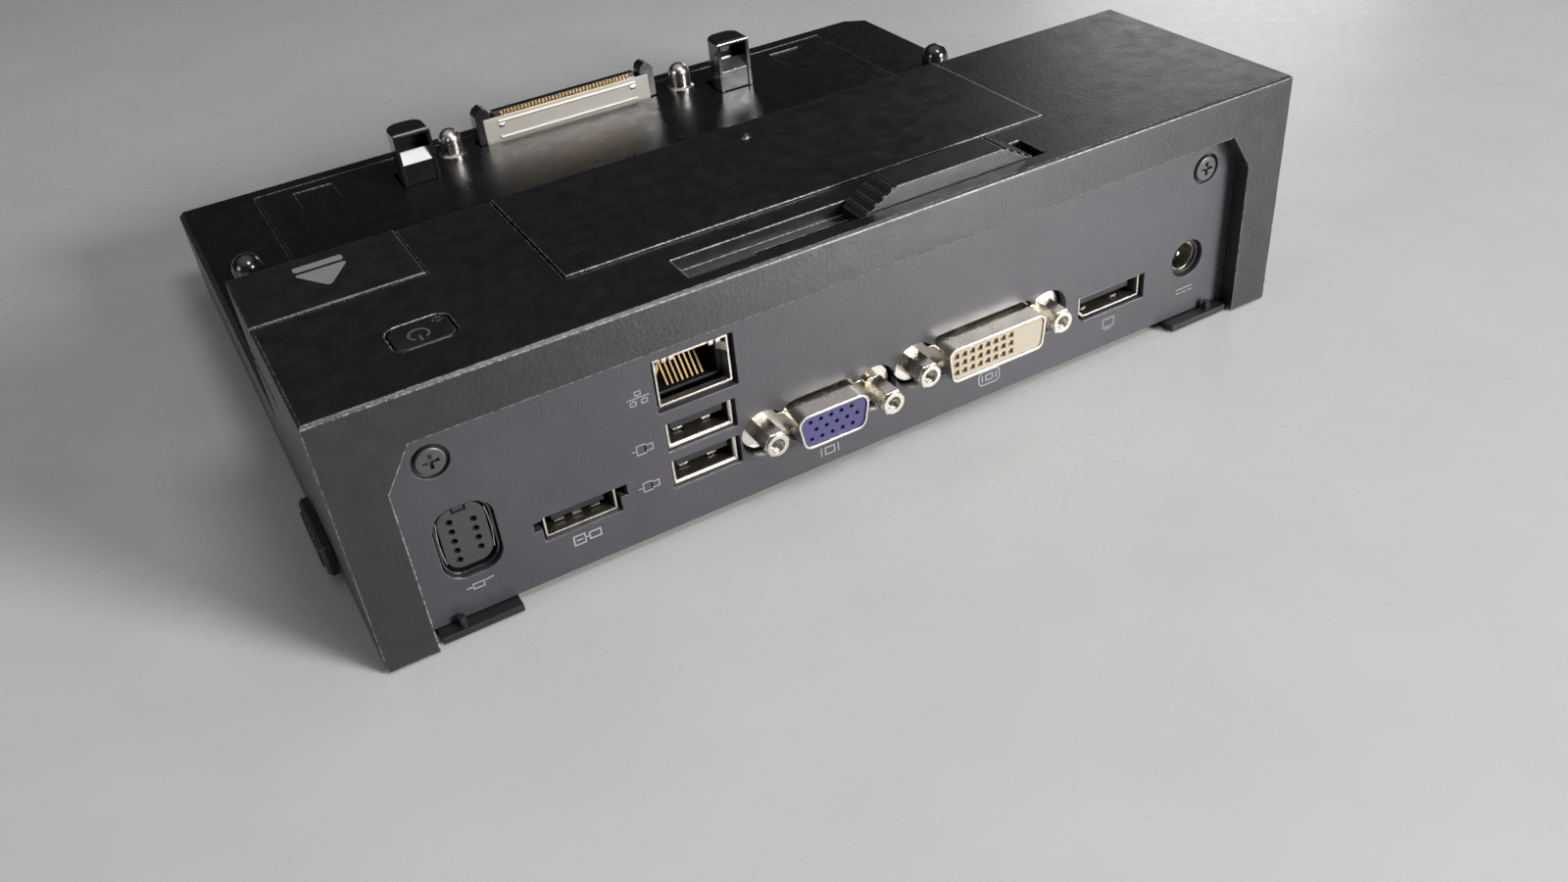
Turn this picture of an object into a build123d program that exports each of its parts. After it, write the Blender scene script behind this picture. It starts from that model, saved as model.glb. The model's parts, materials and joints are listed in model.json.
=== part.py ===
from build123d import *
import os
from math import atan2, degrees, hypot

"""Laptop docking station: a flat tray that carries the laptop's rear half, and a raised block behind it
with the sockets.  X runs to the user's right, Y to the rear and Z up; the origin is the centre of the
footprint, on the table.  All sizes are in millimetres."""

# ---------------------------------------------------------------- overall sizes
width = 206.0                 # over both side walls
depth = 169.0                 # front edge of the tray to the rear face
tray_top = 22.8               # top of the tray
block_top = 53.0              # top of the raised block
block_depth = 56.0            # front face of the block to the rear face
skirt_bottom = 1.8            # lower edge of the casings
leg_bottom = 0.4              # lower edge of the two rear legs
wall = 2.2                    # casing walls
rear_wall = 4.0               # frame round the recessed panel
seam = 0.35                   # gap round pieces that move in an opening
clear = 0.3                   # gap between pieces that only sit side by side
edge = 1.0                    # bevel on the outer edges

side = width / 2
rear = depth / 2
front = -depth / 2
block_front = rear - block_depth

# ---------------------------------------------------------------- rear panel
panel_thick = 2.0
panel_face = rear - rear_wall
panel_half = side - 9.6       # half width of the recess
panel_top = 43.6
panel_corner = 8.0            # height of the recess's sloping corners
panel_corner_run = 5.2
panel_lip = 1.4               # how far the panel laps behind its frame
panel_screw_x = panel_half - 8.3
panel_screw_z = 36.2

# ---------------------------------------------------------------- pieces on the block's top
skin = 2.0                    # thickness of the spacer, eject button and power button
pocket = skin + 0.4           # how far the casing steps in under them
proud = 0.35                  # how far the spacer and the eject button stand above the block
spacer_half = 52.0
spacer_depth = 38.5           # front face to the groove behind the plate
spacer_travel = 12.0
thumb_travel = 33.0
track_left, track_right = 34.7, -41.8
track_front, track_rear = rear - rear_wall - 7.5, rear - rear_wall + 0.4
track_depth = 2.8
thumb_height = 3.5            # tab above the block's top
thumb_left, thumb_right = -0.6, -39.6
thumb_ramp = 7.6
eject_width = 31.4
eject_depth = 20.7
eject_skirt = 14.0
eject_travel = 2.2
button_x, button_y = side - 24.4, rear - 15.8
button_w, button_d, button_r = 10.6, 8.4, 2.2
button_travel = 0.8

# ---------------------------------------------------------------- docking side
hook_x = 45.8
hook_width = 9.6
hook_y = front + 21.5         # centre of the hook's stem
hook_top = 36.8
hook_fore = 3.6               # the hood's reach in front of the stem's centre
hook_nose = 5.0               # and behind it
hook_frame = 0.9              # wall left round the hood's mouth
hook_swing = 3.0              # room in front of a hook for its swing
shaft_r = 2.0
shaft_z = 12.8
shaft_fit = 0.06
pin_x = 33.8
pin_y = front + 14.6
pin_r = 3.0
pin_top = 30.2
pin_collar = 0.8              # how far a pin's collar stands out
dock_half = 24.2
dock_rear = front + 15.0
dock_thick = 5.0
dock_top = 29.8
post_x = side - 8.3
post_y = front + 52.5
post_r = 3.6
post_height = 7.4
post_peg_r = 1.5
peg_fit = 0.05                # gap round a peg or pin that is pressed into the tray

# ---------------------------------------------------------------- lock slide in the right side wall
lock_y0, lock_y1 = rear - 47.0, rear - 29.0
lock_z0, lock_z1 = 2.6, 9.4
lock_mid = 7.2                # height of the slot in the wall
lock_travel = 6.0
lock_stem, lock_stem_h = 4.0, 2.0
lock_stem_y = lock_y0 + 4.0
lock_gap = 0.15

# ---------------------------------------------------------------- screws that hold the base pan
tray_screws = [(-68, front + 14), (68, front + 14), (27 - side, front + 70), (side - 27, front + 70)]
block_screws = [(9 - side, rear - 12), (side - 9, rear - 12)]

# ---------------------------------------------------------------- boards
board_top = 8.6
board_thick = 1.6
dock_board_z = 15.2

# ---------------------------------------------------------------- lever under the eject button
lever_x = side - 15.5
lever_w = 3.0
lever_pivot_y = rear - 33.0
lever_pivot_z = 13.6
lever_arm = 12.0
lever_tail = 8.0
lever_pin_r = 1.5
strip_z = 5.0
strip_t = 1.2
strip_half = 3.2

os.makedirs("parts", exist_ok=True)


def save(piece, name):
    """Label a finished piece and write it as one node."""
    piece.part.label = name
    export_step(piece.part, f"parts/{name}.step")


def slab(x0, x1, y0, y1, z0, z1, mode=Mode.ADD):
    """A rectangular block between two opposite corners."""
    with Locations(((x0 + x1) / 2, (y0 + y1) / 2, (z0 + z1) / 2)):
        Box(abs(x1 - x0), abs(y1 - y0), abs(z1 - z0), mode=mode)


def post(x, y, z0, z1, radius, mode=Mode.ADD):
    """An upright round bar."""
    with Locations((x, y, (z0 + z1) / 2)):
        Cylinder(radius, z1 - z0, mode=mode)


def bar_y(x, z, y0, y1, radius, mode=Mode.ADD):
    """A round bar along Y."""
    with Locations((x, (y0 + y1) / 2, z)):
        Cylinder(radius, abs(y1 - y0), rotation=(90, 0, 0), mode=mode)


def bar_x(y, z, x0, x1, radius, mode=Mode.ADD):
    """A round bar along X."""
    with Locations(((x0 + x1) / 2, y, z)):
        Cylinder(radius, abs(x1 - x0), rotation=(0, 90, 0), mode=mode)


def upright(y, x=0, z=0):
    """The vertical plane across the object through (x, y, z): sketch X is X and sketch Y is Z."""
    return Plane(origin=(x, y, z), x_dir=(1, 0, 0), z_dir=(0, -1, 0))


def push(sketch, thickness, mode=Mode.ADD):
    """Extrude a sketch on an upright plane towards the front by its thickness."""
    extrude(to_extrude=sketch, amount=thickness, mode=mode)


def shield_outline(w_top, height, slope, radius, cx, cz, y):
    """The D-shaped outline of a video plug: slanted sides, wider at the top, with round corners."""
    run = height * slope
    with BuildSketch(upright(y, cx, cz)) as outline:
        with BuildLine():
            Polyline((-w_top / 2, height / 2), (w_top / 2, height / 2),
                     (w_top / 2 - run, -height / 2), (-w_top / 2 + run, -height / 2), close=True)
        make_face()
        fillet(outline.vertices(), radius)
    return outline.sketch


def box_outline(w, height, radius, cx, cz, y):
    """A rectangle with round corners on an upright plane."""
    with BuildSketch(upright(y, cx, cz)) as outline:
        RectangleRounded(w, height, radius)
    return outline.sketch


def keyed_outline(w, height, cut, cx, cz, y):
    """A rectangle whose lower right corner is cut off, on an upright plane."""
    with BuildSketch(upright(y, cx, cz)) as outline:
        Rectangle(w, height)
        chamfer(outline.vertices().group_by(Axis.Y)[0].sort_by(Axis.X)[-1], cut)
    return outline.sketch


def recess_outline(grow, top_grow, bottom, y):
    """The recessed panel's outline: sloping upper corners and straight sides down to its lower edge."""
    half = panel_half + grow
    top = panel_top + top_grow
    with BuildSketch(upright(y)) as outline:
        with BuildLine():
            Polyline((-half, bottom), (-half, top - panel_corner), (-half + panel_corner_run, top),
                     (half - panel_corner_run, top), (half, top - panel_corner), (half, bottom), close=True)
        make_face()
    return outline.sketch


# ---------------------------------------------------------------- ports: places and sizes on the rear panel
lan = {"x": 36.1, "z": 33.8, "w": 16.4, "h": 11.2}
usb = [{"x": 36.4, "z": 22.4, "w": 14.6, "h": 6.3}, {"x": 36.4, "z": 14.0, "w": 14.6, "h": 6.3}]
combo = {"x": 62.0, "z": 13.6, "w": 15.4, "h": 5.4}
vga = {"x": 11.3, "z": 15.2, "w": 16.4, "h": 7.8, "nuts": 12.5, "slope": 0.176, "r": 2.1, "loose": 1.6}
dvi = {"x": -27.4, "z": 16.6, "w": 24.2, "h": 7.9, "nuts": 16.4, "slope": 0.12, "r": 1.6, "loose": 0}
display = {"x": -61.2, "z": 13.6, "w": 18.0, "h": 6.0, "cut": 1.3}
power = {"x": -82.2, "z": 15.9, "r": 4.4}
stand = {"x": 82.8, "z": 18.0, "w": 11.2, "h": 15.4, "r": 4.0}
shell_front = rear + 1.2      # front faces of the two video shells
shell_wall = 0.5
nut_r = 2.4
nut_bore = 1.45
nut_length = 7.2
lobe_r = 5.0
lobe_gap = 0.9
port_gap = 0.7                # between a port's shield and its opening
port_set_back = 1.0           # port faces behind the panel's face
port_depth = 19.0
sheet = 0.4                   # sheet metal of the port shields

# ---------------------------------------------------------------- tray cover
track_floor = block_top - track_depth
with BuildPart() as tray_cover:
    tray_rear = block_front + wall
    slab(-side, side, front, tray_rear, skirt_bottom, tray_top)
    corner = tray_cover.edges().filter_by(Axis.Z).group_by(Axis.Y)[0]
    chamfer(corner.sort_by(Axis.X)[0], length=4.2, length2=6.0)
    fillet(tray_cover.edges().filter_by(Axis.Z).group_by(Axis.Y)[0].sort_by(Axis.X)[-1], 1.5)
    outer_top = tray_cover.faces().sort_by(Axis.Z)[-1].edges()
    chamfer(outer_top.filter_by(lambda e: e.center().Y < tray_rear - 1), edge)
    slab(-side + wall, side - wall, front + wall + 4, tray_rear + 1, skirt_bottom - 1, tray_top - wall,
         mode=Mode.SUBTRACT)
    slab(-side + wall + 4, side - wall, front + wall, front + wall + 4.5, skirt_bottom - 1, tray_top - wall,
         mode=Mode.SUBTRACT)
    # The last strip passes under the block's front wall, so its top is cut down to fit there.
    slab(-side - 1, side + 1, block_front, tray_rear + 1, tray_top - wall - 2.6, tray_top + 1,
         mode=Mode.SUBTRACT)
    slab(-side - 1, -side + wall + clear, block_front, tray_rear + 1, 0, tray_top, mode=Mode.SUBTRACT)
    slab(side - wall - clear, side + 1, block_front, tray_rear + 1, 0, tray_top, mode=Mode.SUBTRACT)
    # Panel line let into the tray's top, parallel to the front edge.
    line_x, line_w, line_deep = side - 18.2, 0.7, 0.45
    recess_in, recess_out, recess_front = 65.5, 75.5, front + 9.5
    line_front = front + 5.2
    slab(-line_x, line_x, line_front, line_front + line_w, tray_top - line_deep, tray_top + 1,
         mode=Mode.SUBTRACT)
    for sx in (-1, 1):
        slab(sx * (line_x - line_w), sx * line_x, line_front, block_front - 12, tray_top - line_deep,
             tray_top + 1, mode=Mode.SUBTRACT)
        # Shallow square recess near each front corner.
        slab(sx * recess_in, sx * recess_out, recess_front, recess_front + 11.0, tray_top - 0.3,
             tray_top + 1,
             mode=Mode.SUBTRACT)
        # Opening that a docking hook stands in, long enough for it to swing.
        slab(sx * (hook_x - hook_width / 2 - clear), sx * (hook_x + hook_width / 2 + clear),
             hook_y - hook_fore - hook_swing, hook_y + hook_nose + clear, tray_top - wall - 1, tray_top + 1,
             mode=Mode.SUBTRACT)
        # Holes for the guide pins and the corner posts.
        post(sx * pin_x, pin_y, tray_top - wall - 1, tray_top + 1, pin_r + peg_fit, mode=Mode.SUBTRACT)
        post(sx * post_x, post_y, tray_top - wall - 1, tray_top + 1, post_peg_r + peg_fit,
             mode=Mode.SUBTRACT)
    # Opening round the docking connector.
    slab(-dock_half - 2.4, dock_half + 2.4, dock_rear - dock_thick - 0.5, dock_rear + 0.5,
         tray_top - wall - 1,
         tray_top + 1, mode=Mode.SUBTRACT)
    # Screw pillars under the tray's top.
    for px, py in tray_screws:
        post(px, py, skirt_bottom + 2.4, tray_top - wall + 0.1, 3.4)
        post(px, py, 0, tray_top - 5, 1.2, mode=Mode.SUBTRACT)
    # Stubs that carry the docking board.
    for px in (-30, 30):
        post(px, front + 8, dock_board_z + board_thick, tray_top - wall + 0.1, 2.4)
        post(px, front + 8, dock_board_z, tray_top - 4, 0.9, mode=Mode.SUBTRACT)
save(tray_cover, "tray_cover")

# ---------------------------------------------------------------- rear housing
spacer_rear = block_front + spacer_depth
eject_left = side - eject_width
eject_rear = block_front + eject_depth
with BuildPart() as rear_housing:
    slab(-side, side, block_front, rear, skirt_bottom, block_top)
    for sx in (-1, 1):
        slab(sx * panel_half, sx * side, rear - 9, rear, leg_bottom, skirt_bottom + 0.5)
    outer = rear_housing.faces().sort_by(Axis.Z)[-1].edges()
    chamfer(outer, 0.5)
    # Inside of the shell; the frame round the panel is thicker.
    slab(-side + wall, side - wall, block_front + wall, rear - rear_wall, 0, block_top - wall,
         mode=Mode.SUBTRACT)
    push(recess_outline(0, 0, -1, rear + 1), rear_wall + 2, mode=Mode.SUBTRACT)
    # Front wall is open below the tray's top, where the tray's last strip comes in.
    slab(-side + wall, side - wall, block_front - 1, block_front + wall + 1, 0, tray_top - wall,
         mode=Mode.SUBTRACT)
    # Step inside the spacer: a lowered shelf and a set-back front wall.
    slab(-spacer_half - wall, spacer_half + wall, block_front + wall, spacer_rear + wall,
         block_top - pocket - wall, block_top - wall)
    slab(-spacer_half - wall, spacer_half + wall, block_front + wall, block_front + pocket + wall,
         tray_top - wall, block_top - wall)
    slab(-spacer_half - seam, spacer_half + seam, block_front - 1, spacer_rear + seam, block_top - pocket,
         block_top + 1, mode=Mode.SUBTRACT)
    slab(-spacer_half - seam, spacer_half + seam, block_front - 1, block_front + pocket, tray_top,
         block_top + 1, mode=Mode.SUBTRACT)
    # Track of the thumb slider: a shallow trough with a slot along its floor.
    slab(track_right - wall, track_left + wall, track_front - 1.2, rear - rear_wall + 0.1, track_floor - 1.6,
         block_top - wall + 0.1)
    slab(track_right, track_left, track_front, track_rear, track_floor, block_top + 1, mode=Mode.SUBTRACT)
    slot_y = (track_front + track_rear) / 2
    stem_x0, stem_x1, stem_w = -26.0, -14.0, 2.4
    slab(stem_x0 - 0.5, stem_x1 + thumb_travel + 0.5, slot_y - stem_w / 2 - seam, slot_y + stem_w / 2 + seam,
         track_floor - 3, track_floor + 1, mode=Mode.SUBTRACT)
    # Slots in the shelf for the spacer's two tongues and for its drive pin.
    tongue_x, tongue_w, tongue_y0, tongue_y1 = 38.0, 3.0, block_front + 17.5, block_front + 33.0
    for sx in (-1, 1):
        slab(sx * tongue_x - tongue_w / 2 - seam, sx * tongue_x + tongue_w / 2 + seam,
             tongue_y0 - spacer_travel - 0.5, tongue_y1 + 0.5, block_top - pocket - wall - 1,
             block_top, mode=Mode.SUBTRACT)
    drive_x, drive_y, drive_r = -5.0, spacer_rear - 4.5, 2.0
    slab(drive_x - drive_r - seam, drive_x + drive_r + seam, drive_y - spacer_travel - drive_r - 0.5,
         drive_y + drive_r + 0.5, block_top - pocket - wall - 1, block_top, mode=Mode.SUBTRACT)
    # Pedestal under the eject button, stepped in on the front and on the side.
    step = pocket + wall
    well = skin + eject_travel + 0.3
    slab(eject_left - wall, side - wall, block_front + wall, eject_rear + wall, block_top - well - wall,
         block_top - wall)
    slab(eject_left - wall, side - pocket - wall, block_front + wall, block_front + step,
         block_top - eject_skirt - 5, block_top - well)
    slab(side - step, side - wall, block_front + wall, eject_rear + wall,
         block_top - eject_skirt - 5, block_top - well)
    slab(eject_left - seam, side + 1, block_front - 1, eject_rear + seam, block_top - well,
         block_top + 1, mode=Mode.SUBTRACT)
    eject_foot = block_top - eject_skirt - eject_travel - 0.4
    slab(eject_left - seam, side + 1, block_front - 1, block_front + pocket, eject_foot,
         block_top + 1, mode=Mode.SUBTRACT)
    slab(side - pocket, side + 1, block_front - 1, eject_rear + seam, eject_foot,
         block_top + 1, mode=Mode.SUBTRACT)
    plunger_x, plunger_y, plunger_r = lever_x, lever_pivot_y - lever_arm, 2.5
    post(plunger_x, plunger_y, block_top - well - wall - 1, block_top, plunger_r + 0.3, mode=Mode.SUBTRACT)
    # Hole for the power button.
    with BuildSketch(Plane.XY.offset(block_top - wall - 1)) as button_hole:
        with Locations((button_x, button_y)):
            RectangleRounded(button_w + 2 * seam, button_d + 2 * seam, button_r + seam)
    extrude(amount=wall + 2, mode=Mode.SUBTRACT)
    # Slot for the lock slide's stem.
    slab(side - wall - 1, side + 1, lock_stem_y - clear, lock_stem_y + lock_stem + lock_travel + clear,
         lock_mid - lock_stem_h / 2 - lock_gap, lock_mid + lock_stem_h / 2 + lock_gap, mode=Mode.SUBTRACT)
    # Pillars that hold the button board, and blocks for the panel's screws.
    button_board_z = block_top - 9.0
    for px in (button_x - 9.5, button_x + 9.5):
        post(px, button_y - 1, button_board_z + board_thick, block_top - wall + 0.1, 2.2)
    for sx in (-1, 1):
        slab(sx * (panel_screw_x - 4.5), sx * (side - wall + 0.1), panel_face - panel_thick - 9,
             panel_face - panel_thick - 0.2, panel_screw_z - 4.5, panel_screw_z + 4.5)
        bar_y(sx * panel_screw_x, panel_screw_z, panel_face - panel_thick - 10, panel_face, 1.2,
              mode=Mode.SUBTRACT)
    for px, py in block_screws:
        post(px, py, skirt_bottom + 2.4, panel_screw_z - 4.4, 3.4)
        post(px, py, 0, 18, 1.2, mode=Mode.SUBTRACT)
save(rear_housing, "rear_housing")

# ---------------------------------------------------------------- rear panel
ledge_x0, ledge_x1, ledge_out, ledge_t = side - 26.0, side - 10.6, 3.2, 1.6
with BuildPart() as rear_panel:
    push(recess_outline(panel_lip, panel_lip, skirt_bottom + 0.3, panel_face - 0.05), panel_thick)
    cut = panel_thick + 2
    push(box_outline(lan["w"], lan["h"], 0.4, lan["x"], lan["z"], panel_face + 1), cut, mode=Mode.SUBTRACT)
    for port in usb:
        push(box_outline(port["w"], port["h"], 0.4, port["x"], port["z"], panel_face + 1), cut,
             mode=Mode.SUBTRACT)
    # Combined port: a rectangle with a key at its left middle and at its upper right.
    push(box_outline(combo["w"], combo["h"], 0.3, combo["x"], combo["z"], panel_face + 1), cut,
         mode=Mode.SUBTRACT)
    key = 1.5
    slab(combo["x"] + combo["w"] / 2 - 0.5, combo["x"] + combo["w"] / 2 + key, panel_face - 5,
         panel_face + 1,
         combo["z"] + 0.2, combo["z"] + 2.2, mode=Mode.SUBTRACT)
    slab(combo["x"] - combo["w"] / 2 - key, combo["x"] - combo["w"] / 2 + 0.5, panel_face - 5,
         panel_face + 1,
         combo["z"] + 0.3, combo["z"] + 2.7, mode=Mode.SUBTRACT)
    # Two video openings, each with round lobes for the jack nuts.
    for port in (vga, dvi):
        grow = 2 * lobe_gap
        push(shield_outline(port["w"] + grow, port["h"] + grow, port["slope"], port["r"] + lobe_gap,
                            port["x"], port["z"], panel_face + 1), cut, mode=Mode.SUBTRACT)
        for sx in (-1, 1):
            bar_y(port["x"] + sx * port["nuts"], port["z"], panel_face - 5, panel_face + 1, lobe_r,
                  mode=Mode.SUBTRACT)
            slab(port["x"], port["x"] + sx * port["nuts"], panel_face - 5, panel_face + 1,
                 port["z"] - port["h"] / 2 + 0.8, port["z"] + port["h"] / 2 - 0.8, mode=Mode.SUBTRACT)
    push(keyed_outline(display["w"], display["h"], display["cut"], display["x"], display["z"],
                       panel_face + 1),
         cut, mode=Mode.SUBTRACT)
    bar_y(power["x"], power["z"], panel_face - 5, panel_face + 1, power["r"], mode=Mode.SUBTRACT)
    push(box_outline(stand["w"], stand["h"], stand["r"], stand["x"], stand["z"], panel_face + 1), cut,
         mode=Mode.SUBTRACT)
    for sx in (-1, 1):
        bar_y(sx * panel_screw_x, panel_screw_z, panel_face - 5, panel_face + 1, 1.7, mode=Mode.SUBTRACT)
        bar_y(sx * panel_screw_x, panel_screw_z, panel_face - 1.1, panel_face + 1, 3.4, mode=Mode.SUBTRACT)
save(rear_panel, "rear_panel")

# ---------------------------------------------------------------- base pan
pan_t = 2.0
foot_x, foot_front, foot_rear, foot_r = side - 19.0, front + 14.0, rear - 30.0, 7.0
with BuildPart() as base_pan:
    inner = side - wall - clear
    slab(-inner, inner, front + wall + clear + 4, rear - rear_wall - panel_thick - 0.4, skirt_bottom,
         skirt_bottom + pan_t)
    slab(-inner + 4, inner, front + wall + clear, front + wall + clear + 4.5, skirt_bottom,
         skirt_bottom + pan_t)
    # Stiffening ribs.
    for ry in (front + 40, front + 62, front + 88):
        slab(-80, 80, ry - 0.8, ry + 0.8, skirt_bottom + pan_t, skirt_bottom + pan_t + 1.0)
    # Pillars for the main board.
    for px, py in ((-80, rear - 50), (70, rear - 50), (-70, rear - 22), (20, rear - 22)):
        post(px, py, skirt_bottom + pan_t - 0.1, board_top - board_thick, 2.6)
    # Two ears that carry the release lever.
    for sx in (-1, 1):
        cx = lever_x + sx * (strip_half + 1.2)
        slab(cx - 0.9, cx + 0.9, lever_pivot_y - 3, lever_pivot_y + 3, skirt_bottom + pan_t - 0.1,
             lever_pivot_z + 3)
    bar_x(lever_pivot_y, lever_pivot_z, lever_x - 8, lever_x + 8, lever_pin_r + 0.02, mode=Mode.SUBTRACT)
    # Ledges that reach back under the panel, each with a small peg.
    for sx in (-1, 1):
        slab(sx * ledge_x0, sx * ledge_x1, rear - rear_wall - panel_thick - 1,
             rear - rear_wall + ledge_out - 0.4,
             leg_bottom, leg_bottom + ledge_t - 0.2)
        post(sx * (side - 15.0), rear - rear_wall + 1.4, leg_bottom + 1, leg_bottom + ledge_t + 1.8, 0.8)
    for px, py in tray_screws + block_screws:
        post(px, py, 0, skirt_bottom + pan_t + 1, 1.7, mode=Mode.SUBTRACT)
        post(px, py, 0, skirt_bottom + 1.0, 3.2, mode=Mode.SUBTRACT)
    for sx in (-1, 1):
        for fy in (foot_front, foot_rear):
            post(sx * foot_x, fy, 0, skirt_bottom + 0.6, foot_r + 0.2, mode=Mode.SUBTRACT)
    # Vent slots under the board.
    for n in range(7):
        vx = -36 + 12 * n
        slab(vx - 1.2, vx + 1.2, rear - 44, rear - 30, 0, skirt_bottom + pan_t + 1, mode=Mode.SUBTRACT)
save(base_pan, "base_pan")

with BuildPart() as rubber_feet:
    for sx in (-1, 1):
        for fy in (foot_front, foot_rear):
            post(sx * foot_x, fy, 0, skirt_bottom + 0.6, foot_r)
    fillet(rubber_feet.faces().group_by(Axis.Z)[0].edges(), 0.6)
save(rubber_feet, "rubber_feet")

with BuildPart() as base_screws:
    for px, py in tray_screws + block_screws:
        post(px, py, skirt_bottom + 1.0 - 0.9, skirt_bottom + 1.0, 2.7)
        post(px, py, skirt_bottom + 0.9, 12.0, 1.15)
        post(px, py, 0, skirt_bottom + 0.55, 0.7, mode=Mode.SUBTRACT)
save(base_screws, "base_screws")

with BuildPart() as panel_screws:
    for sx in (-1, 1):
        px = sx * panel_screw_x
        bar_y(px, panel_screw_z, panel_face - 1.1, panel_face + 0.2, 2.75)
        bar_y(px, panel_screw_z, panel_face - 8, panel_face - 1.0, 1.15)
        slab(px - 1.5, px + 1.5, panel_face - 0.6, panel_face + 1, panel_screw_z - 0.35,
             panel_screw_z + 0.35,
             mode=Mode.SUBTRACT)
        slab(px - 0.35, px + 0.35, panel_face - 0.6, panel_face + 1, panel_screw_z - 1.5,
             panel_screw_z + 1.5,
             mode=Mode.SUBTRACT)
    fillet(panel_screws.edges().filter_by(GeomType.CIRCLE).group_by(Axis.Y)[-1], 0.4)
save(panel_screws, "panel_screws")

# ---------------------------------------------------------------- spacer
with BuildPart() as spacer:
    slab(-spacer_half, spacer_half, block_front, spacer_rear, block_top - skin, block_top + proud)
    slab(-spacer_half, spacer_half, block_front, block_front + skin, tray_top + 0.3, block_top + proud)
    fillet(spacer.edges().filter_by(Axis.X).group_by(Axis.Z)[-1].sort_by(Axis.Y)[0], 0.9)
    for sx in (-1, 1):
        slab(sx * tongue_x - tongue_w / 2, sx * tongue_x + tongue_w / 2, tongue_y0, tongue_y1,
             block_top - pocket - wall, block_top - skin)
    cam_z1 = 46.3
    cam_t = 2.0
    post(drive_x, drive_y, cam_z1 - cam_t - 0.4, block_top - skin, drive_r)
    # Small locating bump near the front edge.
    with Locations((-0.4, block_front + 8, block_top + proud)):
        Sphere(0.9)
save(spacer, "spacer")

# ---------------------------------------------------------------- thumb slider and its cam plate
thumb_z = block_top + thumb_height
thumb_y0, thumb_y1 = track_front + 0.4, track_rear - 0.4
with BuildPart() as thumb_slider:
    with BuildSketch(Plane.XZ.offset(-thumb_y1)) as thumb_side:
        with BuildLine():
            Polyline((thumb_right, track_floor + 0.4), (thumb_right, block_top - 0.8),
                     (thumb_right + thumb_ramp, thumb_z), (thumb_left - thumb_ramp, thumb_z),
                     (thumb_left, block_top - 0.8), (thumb_left, track_floor + 0.4), close=True)
        make_face()
    extrude(amount=thumb_y1 - thumb_y0)
    # Ribs across each sloping end.
    ramp_rise = thumb_z - (block_top - 0.8)
    ramp_angle = degrees(atan2(ramp_rise, thumb_ramp))
    for n in range(4):
        along = (n + 0.7) / 4.2
        for sx, foot in ((-1, thumb_right), (1, thumb_left)):
            rib_at = (foot - sx * thumb_ramp * along, (thumb_y0 + thumb_y1) / 2,
                      block_top - 0.8 + ramp_rise * along)
            with Locations(Location(rib_at, (0, sx * ramp_angle, 0))):
                Box(0.7, thumb_y1 - thumb_y0, 0.8)
    slab(stem_x0, stem_x1, slot_y - stem_w / 2, slot_y + stem_w / 2, cam_z1, track_floor + 0.5)
save(thumb_slider, "thumb_slider")

with BuildPart() as cam_plate:
    cam_x0, cam_x1 = -44.0, 3.0
    slab(cam_x0, cam_x1, drive_y - spacer_travel - 4.5, slot_y + stem_w / 2, cam_z1 - cam_t, cam_z1)
    cam_angle = degrees(atan2(spacer_travel, thumb_travel))
    cam_length = hypot(spacer_travel, thumb_travel)
    with BuildSketch(Plane.XY.offset(cam_z1 - cam_t - 1)) as cam_slot:
        mid = (drive_x - thumb_travel / 2, drive_y - spacer_travel / 2)
        with Locations(Location((mid[0], mid[1], 0), (0, 0, cam_angle))):
            SlotCenterToCenter(cam_length, 2 * (drive_r + 0.3))
    extrude(amount=cam_t + 2, mode=Mode.SUBTRACT)
save(cam_plate, "cam_plate")

# ---------------------------------------------------------------- eject button, lever and pull strip
with BuildPart() as eject_button:
    slab(eject_left, side, block_front, eject_rear, block_top - skin, block_top + proud)
    slab(eject_left, side, block_front, block_front + skin, block_top - eject_skirt, block_top + proud)
    slab(side - skin, side, block_front, eject_rear, block_top - eject_skirt, block_top + proud)
    lever_top = lever_pivot_z + 1.4
    post(plunger_x, plunger_y, lever_top + 4, block_top - skin, plunger_r)
    post(plunger_x, plunger_y, lever_top + 0.3, lever_top + 4.1, 0.9)
    fillet(eject_button.edges().filter_by(Axis.Z).sort_by(lambda e: e.center().X - e.center().Y)[-1], 0.8)
    chamfer(eject_button.faces().sort_by(Axis.Z)[-1].edges(), 0.2)
save(eject_button, "eject_button")

with BuildPart() as release_lever:
    lx0, lx1 = lever_x - lever_w / 2, lever_x + lever_w / 2
    bar_x(lever_pivot_y, lever_pivot_z, lx0, lx1, 3.0)
    slab(lx0, lx1, plunger_y - 3, lever_pivot_y, lever_pivot_z - 1.4, lever_top)
    slab(lx0, lx1, lever_pivot_y - 1.2, lever_pivot_y + 1.2, lever_pivot_z - lever_tail - 1.0, lever_pivot_z)
    bar_x(lever_pivot_y, lever_pivot_z, lx0 - 1, lx1 + 1, lever_pin_r + shaft_fit, mode=Mode.SUBTRACT)
save(release_lever, "release_lever")

with BuildPart() as lever_pin:
    bar_x(lever_pivot_y, lever_pivot_z, lever_x - strip_half - 2.6, lever_x + strip_half + 2.6, lever_pin_r)
save(lever_pin, "lever_pin")

crank_y = hook_y
with BuildPart() as pull_strip:
    slab(lever_x - strip_half, lever_x + strip_half, crank_y - 5, lever_pivot_y + 5, strip_z,
         strip_z + strip_t)
    for hy in (crank_y, lever_pivot_y):
        slab(lever_x - lever_w / 2 - 0.3, lever_x + lever_w / 2 + 0.3, hy - 1.7, hy + 1.7, strip_z - 1,
             strip_z + 2, mode=Mode.SUBTRACT)
save(pull_strip, "pull_strip")

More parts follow.
